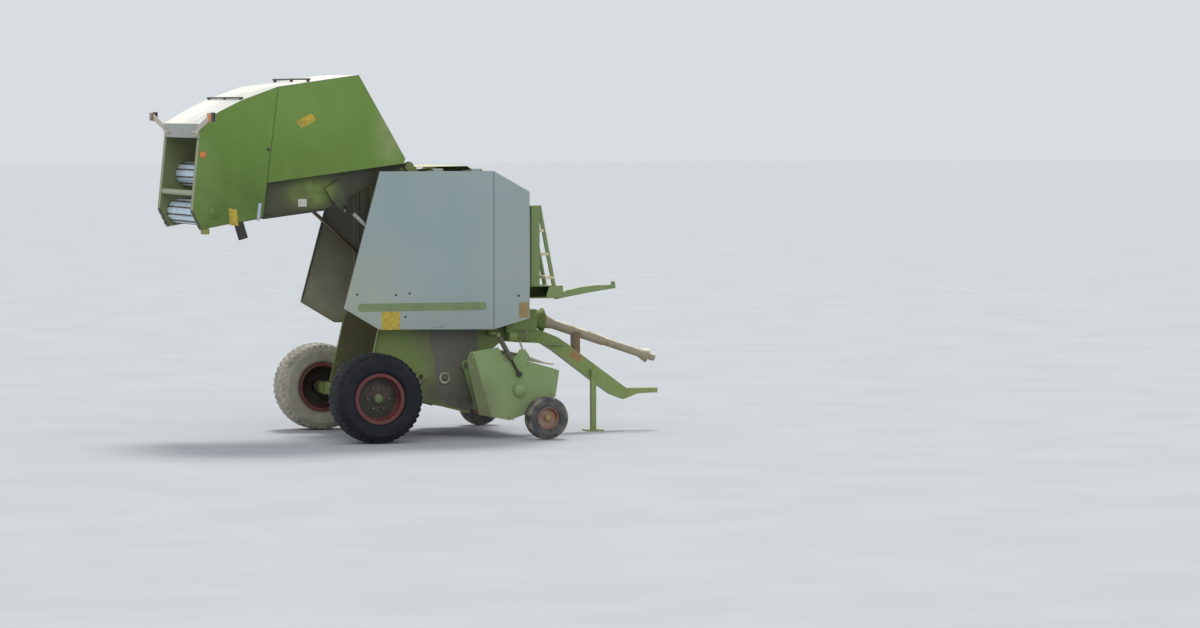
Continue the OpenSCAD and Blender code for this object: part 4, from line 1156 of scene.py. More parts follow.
STRIPE_GREEN = Plastic(
    "stripe green", Slot.GREEN, (114, 134, 88), (104, 122, 82), dust_share=0.35, patches=7.0)
TRIM_RUBBER = Plastic("trim rubber", Slot.GUARD, (30, 30, 30), (48, 46, 42), gloss=0.6)
LAMP_HOUSING = Plastic("lamp housing", Slot.GUARD, (40, 38, 36), (60, 54, 46), gloss=0.55)
HUB_GREEN = Paint("hub green", Slot.GREEN, (64, 84, 46), (80, 96, 60), film=0.3, ground=0.2)
HUB_YELLOW = Paint("hub yellow", Slot.WHITE, (170, 140, 62), (150, 124, 70), film=0.35, ground=0.3)
CREAM_PAINT = Paint(
    "cream paint", Slot.WHITE, (204, 198, 164), (186, 182, 148), dust=(190, 178, 136), top_dust_and_light=0.6)
DRIVE_STEEL = Steel("drive steel", Slot.STEEL, (96, 90, 82), (70, 64, 58), grime_share=0.6, rough=0.45)


@dataclass(frozen=True)
class Turning:
    """A round stepped piece: radius and height at each of its steps, and the facets round it."""

    profile: Outline
    facets: int

    def spin(self, name: str) -> Object:
        """Models the piece about Z through the origin."""
        return Bench.turned(name, self.profile, self.facets)

    def set_on(self, name: str, side: Side, face: float, spots: Iterable[Spot]) -> Object:
        """Models the piece at places of the frame on a face of one side, pointing out, as one mesh."""
        places = [aimed((x, side.y(face), z), side.out) for x, z in spots]
        return Bench.copies(name, self.spin("turning"), places)


@dataclass(frozen=True)
class Block:
    """A small bevelled block, its centre ahead of the axle, out from the middle plane and over the ground."""

    centre: Place
    size: Place
    edge: float = 0.002
    tilt: float = 0.0

    def cut(self, name: str, side: Side) -> Object:
        """Models the block on a side of the machine."""
        x, out, z = self.centre
        return Bench.box(name, (AXLE.x + x, side.y(out), z), self.size, self.edge, self.tilt)


@dataclass(frozen=True)
class Plate:
    """A blank plate, film or strip of tape on a side face, its corners measured from the axle."""

    corners: Outline
    finish: Finish
    thick: float = 0.0012
    radius: float = 0.006
    steps: int = 4

    def stick(self, name: str, side: Side, face: float, body: str) -> Object:
        """Models the plate on a face of one side of the machine and fastens it to a body."""
        outline = rounded(placed(self.corners), self.radius, self.steps)
        return fit(Bench.side_slab(name, outline, side.y(face), side.y(self.thick)), self.finish, body)


@dataclass(frozen=True)
class Bolt:
    """A hexagon head on its washer, with lengths as shares of its radius over the corners."""

    radius: float
    finish: Finish = BOLT_ZINC
    height: float = 0.9
    mid_height: float = 0.6
    bevel: float = 0.1
    washer_r: float = 1.35
    washer_top: float = 0.17
    washer_foot: float = -0.0005
    roll: float = 0.35

    def head(self) -> Object:
        """Models one bolt, seated on the plane Z = 0.

        Returns:
            The pattern.
        """
        r = self.radius
        Bench.clear()
        bpy.ops.mesh.primitive_cylinder_add(vertices=6, radius=r, depth=r * self.height,
                                            location=(0, 0, r * self.mid_height))
        bpy.ops.object.mode_set(mode="EDIT")
        bpy.ops.mesh.select_all(action="SELECT")
        bpy.ops.mesh.bevel(offset=r * self.bevel, segments=1, affect="EDGES")
        head = Bench.done("head")
        rim, top = r * self.washer_r, r * self.washer_top
        washer = Turning(((0, self.washer_foot), (rim, self.washer_foot), (rim, top), (0, top)), 16)
        return Bench.join("bolt", [head, washer.spin("washer")])

    def fasten(self, name: str, places: Iterable[tuple[Place, Place]], body: str) -> Object:
        """Sets bolts out as one piece, each at its place and along its direction, rolled on from the last."""
        stands = [aimed(place, along, self.roll * k) for k, (place, along) in enumerate(places)]
        return fit(Bench.copies(name, self.head(), stands), self.finish, body)

    def fasten_side(self, name: str, side: Side, face: float, spots: Iterable[Spot], body: str) -> Object:
        """Sets bolts out on a face of one side of the machine, pointing out."""
        return self.fasten(name, [((x, side.y(face), z), side.out) for x, z in spots], body)


@dataclass(frozen=True)
class BearingBolts:
    """Bolts through the flanges of the bearings of one half of the chamber, at turns round each roller."""

    half: Half
    bolt: Bolt
    ring: float
    turns: tuple[float, ...]

    def fasten(self, side: Side, body: str) -> None:
        """Adds the bolts on one side as one piece.

        Args:
            side: The side of the machine.
            body: The body they move with.
        """
        centres = [middle(f"roller_{self.half.value}_{n}") for n in ROLLERS]
        spots = [spot for centre in centres for spot in around((centre.x, centre.z), self.ring, self.turns)]
        self.bolt.fasten_side(f"{self.half.value}_bearing_bolts_{side.word}", side, BEARING_FACE, spots, body)


def on_axis(centre: Place, side: Side) -> Matrix:
    """Matrix from a wheel modelled about Z, its outside up, to its centre on the machine."""
    return Matrix.Translation(centre) @ Matrix.Rotation(-side.value * QUARTER, 4, "X")


def tyre_section(outer: list[Spot], inner: list[Spot]) -> list[Spot]:
    """Closed section of a tyre from the outer and inner line of its upper half."""
    return outer + [(r, -h) for r, h in reversed(outer)] + [(r, -h) for r, h in reversed(inner)] + inner


@dataclass(frozen=True)
class MainWheels:
    """Treaded tyres, hub caps, studs and valves of the two main wheels.

    The tyre's sidewall and lining are given in shares of its height over the bead and of its half width,
    its crown and the lugs' shoulder in depths under the carcass or the tread and shares of the half width.
    """

    radius: float = 0.425
    carcass_r: float = 0.4205
    half: float = 0.195
    bead_r: float = 0.216
    bead_seat: float = 0.150
    bead_flat: float = 0.03
    wall: float = 0.022
    sidewall: Outline = ((0.20, 0.93), (0.27, 0.955), (0.30, 0.978), (0.33, 0.972), (0.48, 1.0),
                         (0.64, 0.985), (0.68, 0.985), (0.70, 0.96), (0.86, 0.89))
    crown: Outline = ((0.011, 0.79), (0.003, 0.62), (0.0, 0.20))
    lining: Outline = ((0.8, 0.9), (0.4, 1.0))
    crown_lining: float = 0.6
    toe: float = 0.034
    lug_pitches: int = 44
    lug_len: float = 0.036
    lug_skew: float = 0.025
    lug_root: float = 0.016
    lug_root_ends: Spot = (0.004, 0.60)
    lug_top_start: float = 0.006
    lug_shoulder: Outline = ((0.0006, 0.48), (0.0060, 0.70), (0.0125, 0.785), (0.026, 0.76))
    lug_edge: float = 0.003
    hub_cap: Turning = Turning(((0, 0.075), (0.048, 0.075), (0.048, 0.099), (0.044, 0.103), (0.044, 0.111),
                                (0.03784, 0.121), (0.022, 0.126), (0, 0.127)), 40)
    stud: Turning = Turning(((0, 0.080), (0.0075, 0.080), (0.0075, 0.100), (0.006, 0.103), (0, 0.103)), 16)
    studs: int = 6
    stud_ring_r: float = 0.105
    valve: Turning = Turning(((0, 0.055), (0.009, 0.055), (0.008, 0.085), (0.005, 0.090), (0.0045, 0.108),
                              (0, 0.110)), 14)
    valve_spot: Spot = (0.165, 0.03)

    def build(self) -> None:
        """Dresses the rims and adds each wheel's pieces."""
        dress(RIM_RED, "rim_right", "rim_left")
        turn = 2 * math.pi / self.studs
        stud_ring = [Matrix.Rotation(k * turn, 4, "Z") @ Matrix.Translation((self.stud_ring_r, 0, 0))
                     for k in range(self.studs)]
        small = (("hub_cap", self.hub_cap, HUB_GREEN, [Matrix()]),
                 ("wheel_studs", self.stud, BOLT_ZINC, stud_ring),
                 ("valve", self.valve, TRIM_RUBBER, [Matrix.Translation((*self.valve_spot, 0))]))
        for side in SIDES:
            body = f"wheel_{side.word}"
            hub = on_axis((AXLE.x, middle(f"rim_{side.word}").y, AXLE.z), side)
            # The far wheel takes the pale rubber: dust, and painted light against the shade on its inner
            # face.
            rubber = TYRE_BLACK if side is Side.RIGHT else TYRE_DUSTY_LIT
            fit(Bench.copies(f"tread_{side.word}", self.tyre(), [hub]), rubber, body, f"tyre_{side.word}")
            for name, turning, finish, places in small:
                stands = [hub @ place for place in places]
                fit(Bench.copies(f"{name}_{side.word}", turning.spin(name), stands), finish, body)

    def tyre(self) -> Object:
        """Models the carcass with its raised sidewall rings, and its two rows of slanting lugs.

        Returns:
            The pattern, about Z.
        """
        rise = self.carcass_r - self.bead_r
        outer = [(self.bead_r, self.bead_seat), (self.bead_r + self.bead_flat, self.bead_seat)]
        outer += [(self.bead_r + rise * up, self.half * out) for up, out in self.sidewall]
        outer += [(self.carcass_r - depth, self.half * out) for depth, out in self.crown]
        seat = self.bead_seat - self.wall
        inner = [(self.carcass_r - self.wall, self.half * self.crown_lining)]
        inner += [(self.bead_r + rise * up, self.half * out - self.wall) for up, out in self.lining]
        inner += [(self.bead_r + self.toe, seat), (self.bead_r, seat)]
        carcass = Bench.turned("carcass", tyre_section(outer, inner), 96)
        step = 2 * math.pi / self.lug_pitches
        flip = Matrix.Diagonal((1, 1, -1, 1))
        places = [Matrix.Rotation(k * step, 4, "Z") for k in range(self.lug_pitches)]
        places += [Matrix.Rotation((k + 0.5) * step, 4, "Z") @ flip for k in range(self.lug_pitches)]
        return Bench.join("tyre", [carcass, Bench.copies("lugs", self.lug(), places)])

    def lug(self) -> Object:
        """Models one slanting lug from the middle of the tread over its shoulder.

        Returns:
            The pattern, ahead of the wheel's axis.
        """
        root, start = self.carcass_r - self.lug_root, -self.lug_len / 2
        shoulder = [(self.radius - depth, self.half * out) for depth, out in self.lug_shoulder]
        near, far = self.lug_root_ends
        profile = [(root, near), (shoulder[0][0], self.lug_top_start), *shoulder, (root, self.half * far)]
        points = [(r, start, h) for r, h in profile]
        return Bench.slab("lug", points, (0, self.lug_len, self.lug_skew), self.lug_edge)


@dataclass(frozen=True)
class GaugeWheels:
    """Ribbed tyres and hubs of the pick-up's two gauge wheels.

    The tyre's sidewall is given in shares of its height over the rim and of its half width, its ribs in
    depths under the tread and distances from the middle.
    """

    radius: float = 0.205
    half: float = 0.075
    rim_r: float = 0.102
    seat: float = 0.058
    seat_flat: float = 0.006
    wall: float = 0.012
    under_tread: Spot = (0.014, 0.045)
    toe: float = 0.010
    sidewall: Outline = ((0.25, 0.94), (0.45, 1.0), (0.72, 0.97), (0.88, 0.84))
    ribs: Outline = ((0.004, 0.056), (0.003, 0.036), (0.007, 0.034), (0.007, 0.028), (0, 0.026), (0, 0.005),
                     (0.007, 0.003))
    hub_washer: Turning = Turning(((0.0145, 0.0582), (0.027, 0.0582), (0.027, 0.063), (0.0145, 0.063)), 32)
    hub_nut: Turning = Turning(((0, 0.0405), (0.021, 0.0405), (0.021, 0.072), (0.016, 0.079), (0, 0.081)), 24)

    def build(self) -> None:
        """Dresses the rims and adds each wheel's pieces."""
        dress(RIM_ORANGE, "gauge_rim_right", "gauge_rim_left")
        for side in SIDES:
            body = f"gauge_wheel_{side.word}"
            place = on_axis(middle(f"gauge_rim_{side.word}"), side)
            tyre = Bench.copies(f"gauge_tread_{side.word}", self.tyre(), [place])
            fit(tyre, GAUGE_BLACK, body, f"gauge_tyre_{side.word}")
            hub = Bench.join("hub", [self.hub_washer.spin("washer"), self.hub_nut.spin("nut")])
            fit(Bench.copies(f"gauge_hub_{side.word}", hub, [place]), HUB_YELLOW, body)

    def tyre(self) -> Object:
        """Models a tyre with ribs round its tread.

        Returns:
            The pattern, about Z.
        """
        rise = self.radius - self.rim_r
        outer = [(self.rim_r, self.seat), (self.rim_r + self.seat_flat, self.seat)]
        outer += [(self.rim_r + rise * up, self.half * out) for up, out in self.sidewall]
        outer += [(self.radius - depth, out) for depth, out in self.ribs]
        depth, out = self.under_tread
        inner = [(self.radius - depth, out), (self.rim_r + rise / 2, self.half - self.wall),
                 (self.rim_r + self.toe, self.seat - self.wall), (self.rim_r, self.seat - self.wall)]
        return Bench.turned("tyre", tyre_section(outer, inner), 72)


@dataclass(frozen=True)
class SideDoors:
    """Stripe, blank plates, screws, latches and rubber edging of the side doors."""

    stripe: Plate = Plate(corners((-0.11, 1.232), (1.17, 1.308)), STRIPE_GREEN, radius=0.038, steps=6)
    door_plate: Plate = Plate(corners((0.125, 1.056), (0.304, 1.229)), PLATE_YELLOW, radius=0.008)
    corner_plate: Plate = Plate(corners((1.495, 1.150), (1.596, 1.300)), PLATE_ORANGE, radius=0.008)
    screw: Turning = Turning(((0, -0.001), (0.012, -0.001), (0.012, 0.001), (0.008, 0.004), (0, 0.005)), 16)
    screws: Outline = ((0.265, 1.387), (0.401, 1.401), (0.360, 1.178), (-0.116, 1.396))
    corner_screw: Spot = (1.492, 1.365)
    pull: Outline = corners((0.635, 1.073), (0.745, 1.117))
    pull_radius: float = 0.012
    pull_thick: float = 0.004
    pull_edge: float = 0.0015
    button: Turning = Turning(((0, 0), (0.014, 0), (0.014, 0.007), (0.011, 0.009), (0, 0.009)), 20)
    button_spot: Spot = (0.72, 1.095)
    rear_edge: tuple[Spot, Spot] = ((-0.243, 1.264), (0.110, 2.560))
    seal_r: float = 0.006
    seal_inset: float = 0.024
    seal_ahead: float = 0.004
    seal_short: float = 0.03

    def build(self) -> None:
        """Dresses the doors and corner panels and adds their trim."""
        dress(DOOR_GREY, "side_door_right", "side_door_left", "corner_panels")
        dress(FRONT_GREY, "front_cover")
        dress(STEP_GREEN, "top_cover")
        face = DOOR_FACE - SUNK
        for side in SIDES:
            body = f"door_{side.word}"
            self.stripe.stick(f"door_stripe_{side.word}", side, face, body)
            corner = self.screw.set_on(f"corner_screw_{side.word}", side, DOOR_FACE, [at(*self.corner_screw)])
            fit(corner, TRIM_BLACK, "chassis")
            screws = self.screw.set_on(f"door_screws_{side.word}", side, DOOR_FACE, placed(self.screws))
            fit(screws, TRIM_BLACK, body)
            self.latch(side, body)
            self.edging(side, body)
        self.door_plate.stick("door_plate_right", Side.RIGHT, face, "door_right")
        self.corner_plate.stick("corner_plate_right", Side.RIGHT, face, "chassis")

    def latch(self, side: Side, body: str) -> None:
        """Adds the pull near the door's lower edge, with its keyed turn button.

        Args:
            side: The door's side.
            body: The door's body.
        """
        cup = Bench.side_slab("cup", rounded(placed(self.pull), self.pull_radius), side.y(DOOR_FACE),
                              side.y(self.pull_thick), self.pull_edge)
        button = self.button.set_on("button", side, DOOR_FACE, [at(*self.button_spot)])
        fit(Bench.join(f"door_latch_{side.word}", [cup, button]), DOOR_GREY, body)

    def edging(self, side: Side, body: str) -> None:
        """Adds the rubber profile on the rim along the slanted rear edge.

        Args:
            side: The door's side.
            body: The door's body.
        """
        start, end = (Vector(at(*spot)) for spot in self.rear_edge)
        short = (end - start).normalized() * self.seal_short
        y = side.y(DOOR_FACE - self.seal_inset)
        line = [(spot.x + self.seal_ahead, y, spot.y) for spot in (start + short, end - short)]
        fit(Bench.rod(f"door_seal_{side.word}", line, self.seal_r), TRIM_RUBBER, body)


@dataclass(frozen=True)
class SkinBar:
    """A dark bar across the tailgate's skin: its place from the axle, and its feet's height."""

    half: Half
    spot: Spot
    foot: float


@dataclass(frozen=True)
class Tailgate:
    """Seam trim, plates, reflectors, lamps, hardware and rubber of the raised tailgate."""

    tilted_plate: Plate = Plate(((-0.683, 3.032), (-0.534, 3.113), (-0.487, 3.049), (-0.630, 2.970)),
                                PLATE_YELLOW)
    lower_plate: Plate = Plate(((-1.342, 2.222), (-1.262, 2.205), (-1.247, 2.052), (-1.330, 2.060)),
                               PLATE_YELLOW)
    white_reflector: Plate = Plate(((-1.052, 2.268), (-1.022, 2.266), (-1.042, 2.098), (-1.072, 2.102)),
                                   REFLECTOR_WHITE, thick=0.003, radius=0.005)
    wall_label: Plate = Plate(corners((-0.644, 2.229), (-0.560, 2.300)), LABEL_WHITE)
    wall_face: float = 0.611
    reflector: Turning = Turning(((0, 0), (0.031, 0), (0.031, 0.004), (0.027, 0.007), (0, 0.008)), 32)
    reflector_spot: Spot = (-1.589, 2.724)
    lug: Block = Block((-1.563, 0.667, 2.003), (0.080, 0.044, 0.054), 0.01)
    rubber_block: Block = Block((-1.218, 0.670, 2.008), (0.088, 0.040, 0.165), 0.006, -17.0)
    skin_bars: tuple[SkinBar, ...] = (SkinBar(Half.REAR, (-1.197, 3.257), 0.020),
                                      SkinBar(Half.FRONT, (-0.541, 3.434), 0.032))
    bar_r: float = 0.009
    bar_half: float = 0.665
    bar_foot: Spot = (0.026, 0.030)
    bar_feet: tuple[float, ...] = (-0.6, 0.0, 0.6)
    latch: Turning = Turning(((0, -0.001), (0.016, -0.001), (0.016, 0.004), (0.012, 0.007), (0, 0.008)), 20)
    latch_spot: Spot = (-0.952, 2.772)
    boss: Turning = Turning(((0, -0.001), (0.050, -0.001), (0.050, 0.006), (0.044, 0.010), (0.020, 0.012),
                             (0.018, 0.020), (0, 0.022)), 36)
    boss_spot: Spot = (-1.489, 2.175)
    edge_from: float = 0.606
    open_edge: Outline = ((-0.8185, 0.9435), (-0.2765, 0.5547))
    open_edge_thick: float = 0.003
    edge_corner: Outline = ((-0.2722, 0.5490), (-0.0760, 0.5369))
    edge_corner_thick: float = 0.004
    corner_bolt: Bolt = Bolt(0.011)
    corner_bolts: Outline = ((-1.678, 2.157), (-1.651, 2.102), (-1.626, 2.052))
    corner_bolt_out: float = 0.652
    corner_bolt_along: Place = (-0.9, 0, -0.45)
    meeting_edge: Outline = ((0.1451, 1.1104), (0.3766, 1.6645), (0.3563, 1.6730), (0.1248, 1.1189))
    meeting_from: float = 0.607
    meeting_width: float = 0.055
    meeting_bevel: float = 0.003
    lower_edge: Spot = (-0.830, 0.954)
    lamp_out: float = 1.135
    lamp_up: float = 0.196
    lamp_shell_ahead: float = 0.0145
    lamp_shell_size: Place = (0.0375, 0.083, 0.091)
    lamp_lens_ahead: float = -0.0226
    lamp_lens_size: Place = (0.0282, 0.070, 0.078)
    lamp_bevel: float = 0.007
    bracket_bolt: Bolt = Bolt(0.010)
    bracket_bolt_ahead: float = -0.0093
    bracket_bolt_up: float = 0.040
    bracket_bolts_out: tuple[float, ...] = (0.48, 0.56)
    bearings: BearingBolts = BearingBolts(Half.REAR, Bolt(0.0055), 0.047,
                                          tuple(-OPEN_ANGLE - k * QUARTER for k in range(4)))

    def build(self) -> None:
        """Dresses the tailgate's nodes and adds its trim."""
        dress(TAIL_GREEN, "tailgate_covers")
        dress(GATE_WALL_SHADED, "tailgate_walls")
        dress(TUBE_PALE, "tailgate_tubes")
        dress(SKIN_LIT_TOP_WHITE, "tailgate_skin")
        dress(ARM_WHITE, "tail_lamps")
        self.near_cover()
        for bar in self.skin_bars:
            self.skin_bar(bar)
        for side in SIDES:
            latch = self.latch.set_on(f"cover_latch_{side.word}", side, COVER_FACE, [at(*self.latch_spot)])
            fit(latch, TRIM_BLACK, "tailgate")
            self.edges(side)
            self.lamp(side)
            self.bearings.fasten(side, "tailgate")
            self.meeting_rubber(side)
            boss = self.boss.set_on(f"cover_boss_{side.word}", side, COVER_FACE, [at(*self.boss_spot)])
            fit(boss, TAIL_GREEN, "tailgate")

    def near_cover(self) -> None:
        """Adds the blank plates, reflectors, lug and rubber block of the near side's cover."""
        side, face = Side.RIGHT, COVER_FACE - SUNK
        self.tilted_plate.stick("tilted_plate", side, face, "tailgate")
        self.lower_plate.stick("lower_plate", side, face, "tailgate")
        self.white_reflector.stick("white_reflector", side, face, "tailgate")
        disc = self.reflector.set_on("round_reflector", side, COVER_FACE, [at(*self.reflector_spot)])
        fit(disc, REFLECTOR_ORANGE, "tailgate")
        self.wall_label.stick("wall_label", side, self.wall_face, "tailgate")
        fit(self.lug.cut("cover_lug", side), BUMP_YELLOW, "tailgate")
        fit(self.rubber_block.cut("rubber_block", side), TRIM_RUBBER, "tailgate")

    def skin_bar(self, bar: SkinBar) -> None:
        """Adds a dark bar across the skin, on its feet.

        Args:
            bar: The bar.
        """
        x, z = at(*bar.spot)
        line = Bench.rod("line", [(x, -self.bar_half, z), (x, self.bar_half, z)], self.bar_r)
        size = (*self.bar_foot, bar.foot)
        feet = [Bench.box("foot", (x, y, z - bar.foot / 2), size) for y in self.bar_feet]
        fit(Bench.join(f"skin_bar_{bar.half.value}", [line, *feet]), TRIM_BLACK, "tailgate")

    def edges(self, side: Side) -> None:
        """Adds the pale strip on the cover's open edge, and the bolted black plate at its corner.

        Args:
            side: The cover's side.
        """
        inner, width = side.y(self.edge_from), side.y(COVER_FACE - self.edge_from)
        for name, line, thick, finish in (
                ("cover_edge", self.open_edge, self.open_edge_thick, EDGE_PALE),
                ("cover_corner", self.edge_corner, self.edge_corner_thick, TRIM_BLACK)):
            bar = Bench.flat_bar(f"{name}_{side.word}", raised(line), inner, width, thick)
            fit(bar, finish, "tailgate")
        y = side.y(self.corner_bolt_out)
        places = [((x, y, z), self.corner_bolt_along) for x, z in placed(self.corner_bolts)]
        self.corner_bolt.fasten(f"cover_corner_bolts_{side.word}", places, "tailgate")

    def meeting_rubber(self, side: Side) -> None:
        """Adds the rubber strip along the edge that meets the front half when the tailgate is shut.

        Args:
            side: The strip's side.
        """
        face, width = side.y(self.meeting_from), side.y(self.meeting_width)
        strip = Bench.side_slab(f"meeting_rubber_{side.word}", raised(self.meeting_edge), face, width,
                                self.meeting_bevel)
        fit(strip, TRIM_RUBBER, "tailgate")

    def lamp(self, side: Side) -> None:
        """Adds a lamp's shell and lens over the frame's case, and the bracket's bolts.

        Args:
            side: The lamp's side.
        """
        x, low = lifted(*self.lower_edge)
        y, z = side.y(self.lamp_out), low + self.lamp_up
        shell = Bench.box(f"lamp_shell_{side.word}", (x + self.lamp_shell_ahead, y, z), self.lamp_shell_size,
                          self.lamp_bevel)
        fit(shell, LAMP_HOUSING, "tailgate")
        lens = Bench.box(f"lamp_lens_{side.word}", (x + self.lamp_lens_ahead, y, z), self.lamp_lens_size,
                         self.lamp_bevel)
        fit(lens, REFLECTOR_ORANGE if side is Side.RIGHT else LENS_DULL, "tailgate")
        feet = [((x + self.bracket_bolt_ahead, side.y(out), low + self.bracket_bolt_up), (-1, 0, 0))
                for out in self.bracket_bolts_out]
        self.bracket_bolt.fasten(f"lamp_bracket_bolts_{side.word}", feet, "tailgate")


@dataclass(frozen=True)
class FrontFrame:
    """Finishes of the chassis, its cheek plates, plugs and bolts, and the shells of the chamber's rollers."""

    roller_r: float = 0.112
    roller_half: float = 0.5982
    shell_over: float = 0.0006
    shell_under: float = 0.0045
    roller_ribs: int = 10
    rib_out: float = 0.0012
    rib_size: Spot = (0.0106, 0.0152)
    rib_bevel: float = 0.003
    dull_below: float = 1.0
    cheek: Outline = ((0.659, 1.060), (0.669, 0.916), (0.700, 0.740), (0.716, 0.561), (0.756, 0.420),
                      (0.849, 0.310), (1.035, 0.258), (1.062, 0.330), (1.088, 0.560), (1.150, 0.680),
                      (1.120, 1.060))
    cheek_from: float = 0.6105
    cheek_thick: float = 0.003
    cheek_bevel: float = 0.001
    plug: Block = Block((1.440, 0.786, 0.970), (0.066, 0.006, 0.066))
    feed_ring: Turning = Turning(((0.036, 0.0170), (0.056, 0.0170), (0.0565, 0.0186), (0.036, 0.0190)), 40)
    feed_spot: Spot = (0.800, 0.580)
    feed_face: float = 0.611
    feed_bolt: Bolt = Bolt(0.007)
    feed_bolt_ring: float = 0.046
    feed_bolt_face: float = 0.6295
    feed_bolt_turn: float = 0.6
    feed_bolt_step: float = 1.57
    bearings: BearingBolts = BearingBolts(Half.FRONT, Bolt(0.008), 0.054,
                                          tuple(k * QUARTER for k in range(4)))

    def build(self) -> None:
        """Dresses the frame and adds its hardware."""
        dress(WALL_GREEN, "side_walls", "cross_beams", "axle")
        dress(INNER_GREEN, "feed_floor")
        for side in SIDES:
            self.bearings.fasten(side, "chassis")
            cheek = Bench.side_slab(f"inlet_cheek_{side.word}", placed(self.cheek), side.y(self.cheek_from),
                                    side.y(self.cheek_thick), self.cheek_bevel)
            fit(cheek, CHEEK_BROWN, "chassis")
            fit(self.plug.cut(f"beam_plug_{side.word}", side), WALL_GREEN, "chassis")
            self.feed_bearing(side)
        for n in ROLLERS:
            self.roller(Half.FRONT, n, 0.0)
            self.roller(Half.REAR, n, OPEN_ANGLE)

    def feed_bearing(self, side: Side) -> None:
        """Adds the ring and bolts of the bearing beside the inlet.

        Args:
            side: The bearing's side.
        """
        centre = at(*self.feed_spot)
        ring = self.feed_ring.set_on(f"feed_ring_{side.word}", side, self.feed_face, [centre])
        fit(ring, BOLT_ZINC, "chassis")
        turns = [self.feed_bolt_turn + k * self.feed_bolt_step for k in range(4)]
        self.feed_bolt.fasten_side(f"feed_bolts_{side.word}", side, self.feed_bolt_face,
                                   around(centre, self.feed_bolt_ring, turns), "chassis")

    def roller(self, half: Half, n: int, turn: float) -> None:
        """Adds a round shell with lengthwise ribs over a roller of the frame.

        Args:
            half: The half of the chamber that it is in.
            n: The roller's number in that half.
            turn: Angle of its first rib, in radians.
        """
        node = f"roller_{half.value}_{n}"
        dress(DRIVE_STEEL, node)
        centre = middle(node)
        end = self.roller_half
        top, low = self.roller_r + self.shell_over, self.roller_r - self.shell_under
        shell = Bench.turned("shell", [(top, -end), (top, end), (low, end), (low, -end)], 80)
        step, out = 2 * math.pi / self.roller_ribs, Matrix.Translation((self.roller_r + self.rib_out, 0, 0))
        places = [Matrix.Rotation(k * step + turn, 4, "Z") @ out for k in range(self.roller_ribs)]
        rib = Bench.box("rib", (0, 0, 0), (*self.rib_size, 2 * end), self.rib_bevel)
        whole = Bench.join("roller", [shell, Bench.copies("ribs", rib, places)])
        lying = Matrix.Translation(centre) @ Matrix.Rotation(QUARTER, 4, "X")
        # Rollers above dull_below get the bright bluish steel with its painted sky reflection.
        finish = ROLLER_DULL if centre.z < self.dull_below else ROLLER_SHEEN
        fit(Bench.copies(f"{node}_shell", whole, [lying]), finish, f"{half.value}_roller_{n}")


